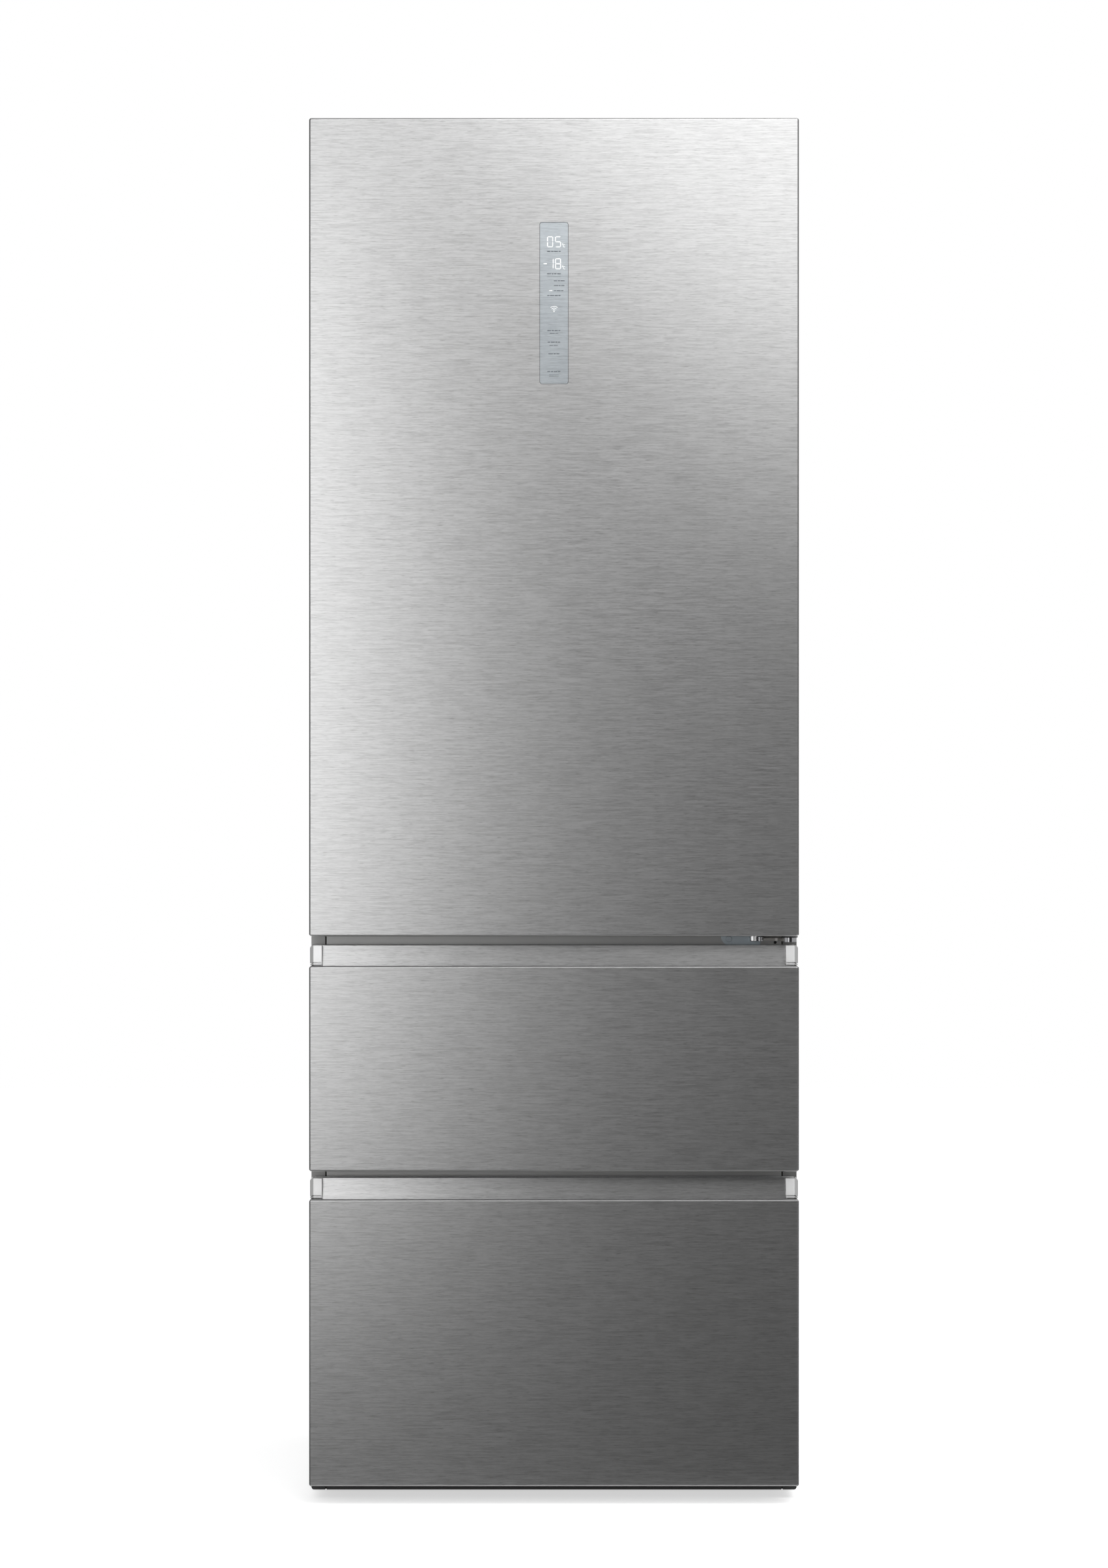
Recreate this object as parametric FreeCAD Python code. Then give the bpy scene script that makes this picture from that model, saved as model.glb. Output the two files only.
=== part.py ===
import FreeCAD, Part
import math
import os

Vector = FreeCAD.Vector

# Sizes in millimetres. The front faces -Y, +Z is up, and the origin is on the floor under the middle.
WIDTH = 700.0
DEPTH = 675.0
FLOOR_CLEARANCE = 12.0      # base underside above the floor
BASE_REVEAL = 14.0          # base underside to the bottom edge of the lower drawer
LOWER_FRONT_HEIGHT = 410.0
UPPER_FRONT_HEIGHT = 293.5
DOOR_HEIGHT = 1169.0
GRIP_RISE = 28.8            # a grip strip stands this far above its drawer panel
DOOR_GAP = 13.7             # upper grip strip to the door
DRAWER_GAP = 11.2           # lower grip strip to the upper drawer
TOP_STEP = 15.0             # door top edge above the cabinet top

# Sheet and wall thicknesses
SHEET = 1.0                 # folded steel
LINER = 2.0                 # moulded plastic walls
FLANGE = 20.0               # front and bottom folds of the outer wrap
GROOVE = 2.0                # dark joint between the wrap and what it frames
CABINET_ROUND = 4.0
SIDE_WALL = 46.0
TOP_WALL = 52.0
REAR_WALL = 50.0
MULLION = 64.0
CROSSBAR = 40.0
FREEZER_FLOOR = 58.0
STEP_WALL = 50.0            # insulation round the machine bay
LINER_ROUND = 16.0
REAR_RIB = 3.0              # raised ribs of the rear panel

# Door and drawer fronts
FRONT_THICKNESS = 50.0      # steel face to the back of the inner liner
SEAL_GAP = 10.0             # inner liner to the cabinet front
RETURN_DEPTH = 44.0         # folded sides of a steel panel
EDGE_ROUND = 2.5
CORNER_ROUND = 3.5
HEM = 4.0                   # folded edge over a grip pocket and along the door top
END_CAP = 22.0
GASKET_WIDTH = 12.0
GASKET_INSET = 13.0         # gasket from the side edges
SEAL_CLEARANCE = 0.4        # gasket to the cabinet front when shut

# Grip strips
GRIP_SETBACK = 27.0
GRIP_WALL = 2.0
GRIP_LEAN = 6.2             # top of the strip's face behind its foot
POCKET_DEPTH = 22.0         # below the top edge of the drawer panel
GRIP_CAP_WIDTH = 17.6
GRIP_CAP_SETBACK = 14.0
GRIP_CAP_BEVEL = 5.0
GRIP_CAP_DROP = 2.5         # outer end of the cap's lower edge below the rest

# Hinges on the right side
PIVOT_INSET = 12.0          # pivot from the right edge
PIVOT_SETBACK = 24.0        # pivot behind the steel face
PIN_RADIUS = 5.0
BUSH_RADIUS = 10.0
BUSH_CLEARANCE = 0.05
RUNNING_CLEARANCE = 0.08
HINGE_PLATE = 4.0
STUD_RADIUS = 8.7           # stop stud of the middle hinge
STOP_RADIUS = 4.6           # roller beside the stud

# Telescopic rails of the freezer drawers
RAIL_START = 8.0            # rails behind the cabinet front
RAIL_END_GAP = 57.0         # rails to the evaporator cover
RAIL_DROP = 66.0            # middle of the rails below the top of their drawer space
RAIL_HEIGHT = 36.0
RAIL_DEPTH = 14.0
RAIL_WALL = 1.5
RAIL_CLEARANCE = 0.3
RAIL_LEDGE = 12.0           # ledge that carries the basket rim
BASKET_FRONT_GAP = 8.0
UPPER_BASKET_GAP = 62.0     # upper basket to the evaporator cover
LOWER_BASKET_GAP = 34.0     # lower basket to the step over the machine bay
BASKET_FLOOR_GAP = 24.0     # basket to the floor or crossbar under it
BASKET_RISE = 14.0          # basket mouth above the ledge of the rails
BASKET_RIM = 3.0
BASKET_WALL = 2.5
BASKET_TAPER = 14.0
BASKET_ROUND = 26.0

# Fridge space
SHELF_FRONT = 178.0         # shelf edge behind the steel face of the door
SHELF_REAR_GAP = 39.0       # shelf edge to the back wall
SHELF_GLASS = 4.0
SHELF_COUNT = 3             # evenly spaced above the glass over the drawers
SHELF_TOP_ROOM = 201.0      # above the top shelf, for tall cartons
COVER_LEVEL = 304.0         # glass over the two drawers
CRISPER_HEIGHT = 168.0
CHILLER_LEVEL = 186.0
CHILLER_HEIGHT = 100.0
INNER_DRAWER_GAP = 16.0     # crisper and chiller to the side walls
INNER_DRAWER_FRONT = 6.0    # behind the shelf edge
INNER_DRAWER_REAR = 30.0
INNER_GRIP_INSET = 88.0     # ends of the grip lips from the sides of the drawers
RIB = 8.0
DUCT_WIDTH = 220.0
DUCT_DEPTH = 27.0

# Inside of the door
DYKE_GAP = 10.0
DYKE_WIDTH = 26.0
DYKE_RISE = 34.0
BIN_DEPTH = 100.0
BIN_HEIGHT = 105.0
BOTTLE_BIN_HEIGHT = 150.0
BIN_COUNT = 3               # evenly spaced above the bottle bin
BIN_LIFT = 12.0             # bottle bin above the dyke
BOTTLE_ROOM = 142.0         # above the bottle bin
BIN_TOP_GAP = 76.0          # top bin to the dyke above it
BIN_WALL = 2.5
BIN_SIDE_GAP = 7.0
DISPLAY_WIDTH = 41.2
DISPLAY_HEIGHT = 231.4
DISPLAY_DROP = 149.0        # door top edge to the top of the display
DISPLAY_ROUND = 3.5
DISPLAY_JOINT = 0.7

# Machine bay and cooling
MACHINE_DEPTH = 215.0
MACHINE_HEIGHT = 240.0
COMPRESSOR_INSET = 180.0    # middle of the compressor from the left side
COMPRESSOR_RADIUS = 70.0
COMPRESSOR_HEIGHT = 158.0
COMPRESSOR_LIFT = 14.0      # pot above the plate it stands on
SEAM_LEVEL = 78.0
SADDLE_LENGTH = 200.0
SADDLE_WIDTH = 124.0
STUB_REACH = 95.0           # tube ends from the middle of the compressor
STUB_SPREAD = 30.0
OUTLET_LEVEL = 110.0
INLET_LEVEL = 60.0
DRIP_TRAY_LENGTH = 192.0
DRIP_TRAY_WIDTH = 164.0
DRIP_TRAY_HEIGHT = 28.0
CONDENSER_INSET = 75.0
CONDENSER_WIDTH = 185.0
CONDENSER_HEIGHT = 170.0
CONDENSER_SETBACK = 30.0    # from the front and back of the bay
BLOWER_GAP = 50.0           # middle of the condenser fan to the condenser
EVAPORATOR_BAY = 80.0
EVAPORATOR_HEIGHT = 170.0
EVAPORATOR_LIFT = 20.0
EVAPORATOR_INSET = 69.0     # from the side walls
EVAPORATOR_SETBACK = 14.0   # from the cover in front of it
RETURN_SLOTS = 11
RETURN_SLOT_PITCH = 46.0
RETURN_SLOT_WIDTH = 34.0
FAN_RADIUS = 56.0
FAN_DROP = 100.0            # freezer fan below the ceiling
CONDENSER_FAN_RIM = 20.0    # frame beyond the fan wheel
EVAPORATOR_FAN_RIM = 10.0
SHAFT_RADIUS = 3.0
ROLLER_RADIUS = 15.0
ROLLER_WIDTH = 20.0
ROLLER_INSET = 50.0         # from the sides
ROLLER_SETBACK = 60.0       # from the back
AXLE_RADIUS = 4.0
FOOT_INSET = 50.0           # from the sides
FOOT_SETBACK = 95.0         # feet behind the cabinet front
FOOT_RADIUS = 18.0
STUD_RADIUS = 5.0

half = WIDTH / 2
front_y = -DEPTH / 2
back_y = DEPTH / 2
cabinet_y = front_y + FRONT_THICKNESS + SEAL_GAP
liner_y = front_y + FRONT_THICKNESS
rim_y = cabinet_y + SHEET
foam_y = rim_y + LINER
rear_y = back_y - REAR_RIB - SHEET
cavity_back = back_y - REAR_WALL
cavity_x = half - SIDE_WALL
rim_x = half - FLANGE - GROOVE

base_z = FLOOR_CLEARANCE
lower_z = (base_z + BASE_REVEAL, base_z + BASE_REVEAL + LOWER_FRONT_HEIGHT)
upper_start = lower_z[1] + GRIP_RISE + DRAWER_GAP
upper_z = (upper_start, upper_start + UPPER_FRONT_HEIGHT)
door_start = upper_z[1] + GRIP_RISE + DOOR_GAP
door_z = (door_start, door_start + DOOR_HEIGHT)
cabinet_top = door_z[1] - TOP_STEP
cap_top = cabinet_top - 1.0

mullion_mid = door_z[0] - DOOR_GAP / 2
fridge_z = (mullion_mid + MULLION / 2, cabinet_top - TOP_WALL)
crossbar_mid = upper_z[0] - DRAWER_GAP / 2
crossbar_z = (crossbar_mid - CROSSBAR / 2, crossbar_mid + CROSSBAR / 2)
freezer_z = (base_z + FREEZER_FLOOR, mullion_mid - MULLION / 2)
lip_top = base_z + FREEZER_FLOOR - 10.0

machine_y = back_y - MACHINE_DEPTH
machine_top = base_z + MACHINE_HEIGHT
step_y = machine_y - STEP_WALL
step_z = machine_top + STEP_WALL
evaporator_y = cavity_back - EVAPORATOR_BAY

pivot_x = half - PIVOT_INSET
pivot_y = front_y + PIVOT_SETBACK

shelf_y = (front_y + SHELF_FRONT, cavity_back - SHELF_REAR_GAP)
cover_z = fridge_z[0] + COVER_LEVEL
shelf_pitch = (fridge_z[1] - SHELF_TOP_ROOM - cover_z) / SHELF_COUNT
shelf_zs = [cover_z + shelf_pitch * (i + 1) for i in range(SHELF_COUNT)]
inner_drawer_x = cavity_x - INNER_DRAWER_GAP
inner_drawer_y = (shelf_y[0] + INNER_DRAWER_FRONT, shelf_y[1] - INNER_DRAWER_REAR)
bin_x = cavity_x - DYKE_GAP - DYKE_WIDTH - BIN_SIDE_GAP
dyke_z = (fridge_z[0] + DYKE_GAP + DYKE_WIDTH, fridge_z[1] - DYKE_GAP - DYKE_WIDTH)


def block(x, y, z):
    """Box between the low and high value of each axis."""
    return Part.makeBox(x[1] - x[0], y[1] - y[0], z[1] - z[0], Vector(x[0], y[0], z[0]))


def place(axis, along, u, v):
    """Point from a distance along an axis and two values in the plane across it."""
    if axis == "x":
        return Vector(along, u, v)
    if axis == "y":
        return Vector(u, along, v)
    return Vector(u, v, along)


def outline(axis, along, corners):
    """Closed wire through (u, v) or (u, v, radius) corners, rounded where a radius is given."""
    count = len(corners)
    points = [place(axis, along, c[0], c[1]) for c in corners]
    edges = []
    last = None
    first = None
    for i in range(count):
        here = points[i]
        radius = corners[i][2] if len(corners[i]) > 2 else 0.0
        if radius < 0.01:
            start = here
            stop = here
        else:
            back = (points[i - 1] - here).normalize()
            ahead = (points[(i + 1) % count] - here).normalize()
            turn = back.getAngle(ahead)
            reach = radius / math.tan(turn / 2)
            middle = (back + ahead).normalize()
            start = here + back * reach
            stop = here + ahead * reach
            bulge = here + middle * (radius / math.sin(turn / 2) - radius)
        if last is not None and last.distanceToPoint(start) > 1e-6:
            edges.append(Part.LineSegment(last, start).toShape())
        if radius >= 0.01:
            edges.append(Part.Arc(start, bulge, stop).toShape())
        last = stop
        if first is None:
            first = start
    if last.distanceToPoint(first) > 1e-6:
        edges.append(Part.LineSegment(last, first).toShape())
    return Part.Wire(edges)


def prism(axis, low, high, corners):
    """Solid with a constant outline, carried from low to high along an axis."""
    face = Part.Face(outline(axis, low, corners))
    return face.extrude(place(axis, high - low, 0, 0))


def rounded(u, v, radius):
    """Corners of a rectangle with the same radius at each."""
    return [(u[0], v[0], radius), (u[1], v[0], radius), (u[1], v[1], radius), (u[0], v[1], radius)]


def plate(axis, low, high, u, v, radius=0.0):
    """Plate with rounded corners, square to an axis."""
    return prism(axis, low, high, rounded(u, v, radius))


def grown(pair, amount):
    """A low and high value moved apart by the same amount at both ends."""
    return (pair[0] - amount, pair[1] + amount)


def frame(axis, low, high, u, v, width, radius):
    """Flat rectangular ring, square to an axis."""
    hole = plate(axis, low - 1, high + 1, grown(u, -width), grown(v, -width), max(radius - width, 1.0))
    return plate(axis, low, high, u, v, radius).cut(hole)


def rod(start, stop, radius):
    """Round bar between two points."""
    run = stop - start
    return Part.makeCylinder(radius, run.Length, start, run)


def joined(shapes):
    """Shapes fused into one solid, without the seams between flush faces."""
    whole = shapes[0]
    if len(shapes) > 1:
        whole = shapes[0].multiFuse(shapes[1:])
    return whole.removeSplitter()


def mirrored(shape):
    """The same shape on the other side of the middle plane."""
    return shape.mirror(Vector(0, 0, 0), Vector(1, 0, 0))


def edges_at(shape, axis, value):
    """Edges that lie wholly in a plane across an axis."""
    found = []
    for edge in shape.Edges:
        box = edge.BoundBox
        low = getattr(box, axis + "Min")
        high = getattr(box, axis + "Max")
        if abs(low - value) < 1e-3 and abs(high - value) < 1e-3:
            found.append(edge)
    return found


def tub(x, y, z, taper, wall, radius):
    """Open box with sloping sides: the floor is smaller than the mouth by the taper on each side."""
    low = outline("z", z[0], rounded(grown(x, -taper), grown(y, -taper), radius - taper / 2))
    high = outline("z", z[1], rounded(x, y, radius))
    outer = Part.makeLoft([low, high], True, True)
    slope = taper / (z[1] - z[0])
    floor = z[0] + wall
    inset = taper - slope * wall + wall
    low = outline("z", floor, rounded(grown(x, -inset), grown(y, -inset), radius - inset / 2))
    over = 5.0
    rise = slope * over - wall
    high = outline("z", z[1] + over, rounded(grown(x, rise), grown(y, rise), radius - wall))
    return outer.cut(Part.makeLoft([low, high], True, True))


def save(name, *solids):
    """Write one node, a single solid or a group of separate solids."""
    shape = solids[0]
    if len(solids) > 1:
        shape = Part.makeCompound(list(solids))
    for solid in solids:
        if not solid.isValid() or solid.Volume <= 0 or len(solid.Solids) != 1:
            print("check", name, solid.isValid(), solid.Volume, len(solid.Solids))
    shape.exportStep("parts/" + name + ".step")


def fridge_cavity(grow):
    """Inside of the fridge space, grown by a wall thickness, open to the front."""
    back = cavity_back + grow
    x = grown((-cavity_x, cavity_x), grow)
    space = plate("y", cabinet_y - 20, back, x, grown(fridge_z, grow), LINER_ROUND + grow)
    return space.makeFillet(LINER_ROUND * 0.7 + grow, edges_at(space, "Y", back))


def freezer_cavity(grow):
    """Inside of the freezer space, stepped over the machine bay, open to the front."""
    back = cavity_back + grow
    low = freezer_z[0] - grow
    high = freezer_z[1] + grow
    bend = LINER_ROUND + grow
    corners = [
        (cabinet_y - 60, low),
        (step_y + grow, low, bend),
        (step_y + grow, step_z - grow, LINER_ROUND),
        (back, step_z - grow, bend),
        (back, high, bend),
        (cabinet_y - 60, high),
    ]
    return prism("x", -cavity_x - grow, cavity_x + grow, corners)


def outer_cabinet():
    """Steel wrap: sides and top in one fold, with flanges turned in at the front and the bottom."""
    x = (-half, half)
    z = (base_z, cabinet_top)
    wrap = plate("y", cabinet_y, back_y, x, z, CABINET_ROUND)
    inside = plate("y", rim_y, back_y + 1, grown(x, -SHEET), grown(z, -SHEET), CABINET_ROUND - SHEET)
    opening = (-half + FLANGE, half - FLANGE)
    front = block(opening, (cabinet_y - 1, rim_y + 1), (base_z - 1, cabinet_top - FLANGE))
    under = block(opening, (cabinet_y - 1, back_y + 1), (base_z - 1, base_z + SHEET + 1))
    return wrap.cut(inside).cut(front).cut(under)


def rear_panel():
    """Flat steel back with raised ribs and a cut-out for the control box."""
    x = (-half + SHEET, half - SHEET)
    z = (machine_top + SHEET, cabinet_top - SHEET)
    sheet = plate("y", rear_y, rear_y + SHEET, x, z, CABINET_ROUND - SHEET)
    pieces = [sheet]
    rows = 5
    pitch = (control_z[0] - z[0] - 60) / rows
    for row in range(rows):
        middle = z[0] + 40 + pitch * (row + 0.5)
        span = (middle - pitch * 0.36, middle + pitch * 0.36)
        pieces.append(frame("y", rear_y + SHEET, back_y, grown(x, -60), span, 14, 16))
    control = plate("y", rear_y - 1, back_y + 1, control_x, control_z, 6)
    return joined(pieces).cut(control)


def insulation_foam():
    """Foam between the steel wrap and the liners."""
    x = (-half + SHEET, half - SHEET)
    z = (base_z + 2 * SHEET, cabinet_top - SHEET)
    foam = plate("y", foam_y, rear_y, x, z, CABINET_ROUND - SHEET)
    foam = foam.cut(block((-half, half), (machine_y - SHEET, back_y), (0, machine_top + SHEET)))
    foam = foam.cut(fridge_cavity(LINER)).cut(freezer_cavity(LINER)).cut(base_pan())
    foam = foam.cut(block(control_x, (control_y, back_y), control_z))
    for side in (-1, 1):
        low = Vector(side * foot_x, foot_y, 0)
        foam = foam.cut(rod(low, Vector(low.x, low.y, base_z + 42), STUD_RADIUS + 5))
    return foam


def fridge_liner():
    """Moulded lining of the fridge space, with a front rim and ribs under each shelf."""
    rim = block((-rim_x, rim_x), (rim_y, foam_y), (mullion_mid + 0.2, cabinet_top - FLANGE - GROOVE))
    room = block((-half, half), (rim_y, back_y), (base_z, cabinet_top))
    shell = joined([fridge_cavity(LINER).common(room), rim]).cut(fridge_cavity(0))
    ribs = []
    for level in shelf_zs + [cover_z, fridge_z[0] + CHILLER_LEVEL + CHILLER_HEIGHT - 6]:
        corners = [
            (cavity_x + LINER / 2, level - RIB - 4),
            (cavity_x - RIB, level - 4, 2),
            (cavity_x - RIB, level),
            (cavity_x + LINER / 2, level),
        ]
        rib = prism("y", shelf_y[0] + 12, shelf_y[1] - 12, corners)
        ribs.extend([rib, mirrored(rib)])
    return joined([shell] + ribs)


def freezer_liner():
    """Moulded lining of the freezer space, with a front rim."""
    rim = block((-rim_x, rim_x), (rim_y, foam_y), (lip_top + 0.5, mullion_mid - 0.2))
    room = block((-half, half), (rim_y, back_y), (base_z, cabinet_top))
    return joined([freezer_cavity(LINER).common(room), rim]).cut(freezer_cavity(0))


def mullion_cover():
    """Steel strip over the wall between fridge and freezer, clipped in by two lips."""
    face = block((-rim_x, rim_x), (cabinet_y, rim_y), (freezer_z[1] - SHEET, fridge_z[0] + SHEET))
    lip_x = (-cavity_x + LINER_ROUND + 2, cavity_x - LINER_ROUND - 2)
    above = block(lip_x, (cabinet_y, cabinet_y + 12), (fridge_z[0], fridge_z[0] + SHEET))
    below = block(lip_x, (cabinet_y, cabinet_y + 12), (freezer_z[1] - SHEET, freezer_z[1]))
    return joined([face, above, below])


def freezer_crossbar():
    """Steel box section between the two drawers, with a wider face plate in front."""
    face = block((-rim_x, rim_x), (cabinet_y, rim_y), crossbar_z)
    tube = block((-cavity_x, cavity_x), (cabinet_y, cabinet_y + 38), crossbar_z)
    hollow = block((-half, half), (rim_y, cabinet_y + 38 - SHEET), grown(crossbar_z, -SHEET))
    return joined([tube.cut(hollow), face])


def base_pan():
    """Bottom sheet, bent up and back over the machine bay, with a front lip between the flanges."""
    low = base_z + SHEET
    corners = [
        (rim_y, low),
        (machine_y, low, 4),
        (machine_y, machine_top, 3),
        (rear_y, machine_top),
        (rear_y, machine_top + SHEET),
        (machine_y - SHEET, machine_top + SHEET, 4),
        (machine_y - SHEET, low + SHEET, 3),
        (rim_y, low + SHEET),
    ]
    sheet = prism("x", -half + CABINET_ROUND, half - CABINET_ROUND, corners)
    lip = block((-rim_x, rim_x), (cabinet_y, rim_y), (base_z, lip_top))
    pan = joined([sheet, lip])
    for side in (-1, 1):
        low = Vector(side * foot_x, foot_y, 0)
        pan = pan.cut(rod(low, Vector(low.x, low.y, base_z + 10), STUD_RADIUS + RUNNING_CLEARANCE))
    return pan


def front_foot(side):
    """Levelling foot: a round pad on a stud that screws up into the base."""
    neck = STUD_RADIUS + 4
    top = base_z - 0.5
    pad = [(0, 0), (FOOT_RADIUS, 0, 2), (FOOT_RADIUS, 6, 2), (neck, 9.5, 2), (neck, top), (0, top)]
    turned = Part.Face(outline("y", 0, pad)).revolve(Vector(0, 0, 0), Vector(0, 0, 1), 360)
    stud = Part.makeCylinder(STUD_RADIUS, base_z + 36, Vector(0, 0, 2))
    foot = joined([turned, stud])
    foot.translate(Vector(side * foot_x, foot_y, 0))
    return foot


def rear_roller(side):
    """Solid roller with a tread groove, bored for its axle."""
    middle = Vector(side * roller_x, roller_y, ROLLER_RADIUS)
    wide = Vector(ROLLER_WIDTH / 2, 0, 0)
    wheel = rod(middle - wide, middle + wide, ROLLER_RADIUS)
    wheel = wheel.makeFillet(2.0, wheel.Edges[0:1] + wheel.Edges[2:3])
    return wheel.cut(rod(middle - wide * 2, middle + wide * 2, AXLE_RADIUS + RUNNING_CLEARANCE))


def roller_axle(side):
    """Headed pin that carries one roller."""
    middle = Vector(side * roller_x, roller_y, ROLLER_RADIUS)
    reach = Vector(ROLLER_WIDTH / 2 + 7, 0, 0)
    head = rod(middle + reach - Vector(2, 0, 0), middle + reach, AXLE_RADIUS + 2)
    return joined([rod(middle - reach, middle + reach, AXLE_RADIUS), head])


def machine_base():
    """Plate under the compressor, with slots and ears for the rear rollers."""
    low = base_z + SHEET
    side_x = half - CABINET_ROUND
    sheet = block((-side_x, side_x), (machine_y + 0.5, back_y - 1.5), (low, low + 2))
    pieces = [sheet]
    slots = []
    ear_gap = ROLLER_WIDTH / 2 + 2
    for side in (-1, 1):
        middle = side * roller_x
        slots.append(block((middle - ear_gap, middle + ear_gap),
                           grown((roller_y, roller_y), ROLLER_RADIUS + 4), (0, low + 4)))
        for edge in (middle - ear_gap - 2, middle + ear_gap):
            ear = [(roller_y - 13, low), (roller_y + 13, low), (roller_y + 11, ROLLER_RADIUS + 9, 8),
                   (roller_y - 11, ROLLER_RADIUS + 9, 8)]
            pieces.append(prism("x", edge, edge + 2, ear))
    for side in (-1, 1):
        hole = roller_axle(side).makeOffsetShape(0.05, 0.01)
        slots.append(hole)
    whole = joined(pieces)
    for slot in slots:
        whole = whole.cut(slot)
    return whole


def compressor():
    """Hermetic pot with a welded seam, feet, a terminal box and two tube stubs."""
    low = compressor_z
    high = low + COMPRESSOR_HEIGHT
    seam = low + SEAM_LEVEL
    waist = COMPRESSOR_RADIUS + 2
    rim = COMPRESSOR_RADIUS + 7
    pot = [(0, low), (COMPRESSOR_RADIUS, low, 28), (waist, seam), (rim, seam, 1), (rim, seam + 6, 1),
           (waist, seam + 6), (COMPRESSOR_RADIUS, high, 38), (0, high)]
    body = Part.Face(outline("y", 0, pot)).revolve(Vector(0, 0, 0), Vector(0, 0, 1), 360)
    long = SADDLE_LENGTH / 2
    wide = SADDLE_WIDTH / 2
    pieces = [body, plate("z", low - 4, low + 3, (-long, long), (-wide, wide), 14)]
    for x in (16 - long, long - 16):
        for y in (16 - wide, wide - 16):
            pieces.append(Part.makeCylinder(11, low - 4 - machine_floor, Vector(x, y, machine_floor)))
    terminals = (low + 35, low + 90)
    pieces.append(plate("y", -COMPRESSOR_RADIUS - 22, -COMPRESSOR_RADIUS + 10, (-30, 30), terminals, 5))
    for y, level, radius in ((STUB_SPREAD, OUTLET_LEVEL, 4), (-STUB_SPREAD, INLET_LEVEL, 5)):
        tip = Vector(STUB_REACH, y, low + level)
        pieces.append(rod(tip - Vector(35, 0, 0), tip, radius))
    whole = joined(pieces)
    whole.translate(Vector(compressor_x, bay_y, 0))
    return whole


def fin_coil(x, y, z, fins, rows):
    """Block of thin fins on rows of straight tubes that lie along X, with end plates."""
    thick = 0.8
    pieces = []
    for i in range(fins):
        middle = x[0] + 12 + (x[1] - x[0] - 24) * i / (fins - 1)
        pieces.append(block((middle - thick / 2, middle + thick / 2), y, z))
    for i in range(rows):
        level = z[0] + (z[1] - z[0]) * (i + 0.5) / rows
        for depth in (0.3, 0.7):
            line = y[0] + (y[1] - y[0]) * depth
            pieces.append(rod(Vector(x[0], line, level), Vector(x[1], line, level), 4))
    return joined(pieces)


def fan(axis, centre, radius):
    """Fan wheel: a cupped hub and five twisted blades."""
    hub = Part.makeCylinder(16, 18, Vector(0, 0, -9))
    pieces = [hub.makeFillet(4, edges_at(hub, "Z", 9))]
    for i in range(5):
        sections = []
        for reach, pitch, chord in ((13, 48, 15), (radius * 0.6, 36, 20), (radius, 26, 22)):
            a = math.radians(pitch)
            along = Vector(0, math.cos(a), math.sin(a)) * chord / 2
            across = Vector(0, -math.sin(a), math.cos(a)) * 0.8
            centre_line = Vector(reach, 0, 0)
            points = [centre_line - along - across, centre_line + along - across,
                      centre_line + along + across, centre_line - along + across]
            sections.append(Part.makePolygon(points + points[0:1]))
        blade = Part.makeLoft(sections, True, False)
        blade.rotate(Vector(0, 0, 0), Vector(0, 0, 1), 72 * i)
        pieces.append(blade)
    wheel = joined(pieces)
    wheel = wheel.cut(Part.makeCylinder(SHAFT_RADIUS + RUNNING_CLEARANCE, 40, Vector(0, 0, -20)))
    turn = FreeCAD.Rotation(Vector(0, 0, 1), axis)
    wheel.Placement = FreeCAD.Placement(centre, turn)
    return wheel


def fan_frame(axis, centre, radius, size):
    """Square frame with a round mouth, and a motor with its shaft on three arms behind the wheel."""
    mouth = Part.makeCylinder(radius + 4, 40, Vector(0, 0, -20))
    ring = plate("z", -11, 11, (-size / 2, size / 2), (-size / 2, size / 2), 8).cut(mouth)
    motor = Part.makeCylinder(20, 22, Vector(0, 0, -33))
    shaft = Part.makeCylinder(SHAFT_RADIUS, 45, Vector(0, 0, -33))
    pieces = [ring, motor, shaft]
    for i in range(3):
        arm = block((12, radius + 10), (-4, 4), (-17, -11))
        arm.rotate(Vector(0, 0, 0), Vector(0, 0, 1), 120 * i + 90)
        pieces.append(arm)
    whole = joined(pieces)
    turn = FreeCAD.Rotation(Vector(0, 0, 1), axis)
    whole.Placement = FreeCAD.Placement(centre, turn)
    return whole


def pipe(points, bend, radius):
    """Round tube along straight runs joined by arcs."""
    edges = []
    last = points[0]
    for i in range(1, len(points) - 1):
        back = (points[i - 1] - points[i]).normalize()
        ahead = (points[i + 1] - points[i]).normalize()
        turn = back.getAngle(ahead)
        reach = bend / math.tan(turn / 2)
        start = points[i] + back * reach
        stop = points[i] + ahead * reach
        bulge = points[i] + (back + ahead).normalize() * (bend / math.sin(turn / 2) - bend)
        edges.append(Part.LineSegment(last, start).toShape())
        edges.append(Part.Arc(start, bulge, stop).toShape())
        last = stop
    edges.append(Part.LineSegment(last, points[-1]).toShape())
    ring = Part.Wire(Part.makeCircle(radius, points[0], points[1] - points[0]))
    return Part.Wire(edges).makePipeShell([ring], True, True)


def machine_cover():
    """Rear cover of the machine bay with rows of air slots."""
    x = (-half + 4, half - 4)
    z = (base_z + SHEET, machine_top - 2)
    cover = plate("y", back_y - 1.5, back_y, x, z, 6)
    slots = []
    for column in range(6):
        middle = x[0] + (x[1] - x[0]) * (column + 0.5) / 6
        for row in range(9):
            level = z[0] + 30 + (z[1] - z[0] - 60) * row / 8
            x_span = (middle - 42, middle + 42)
            slots.append(plate("y", back_y - 3, back_y + 1, x_span, (level - 4, level + 4), 3.9))
    return cover.cut(Part.makeCompound(slots))


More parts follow.
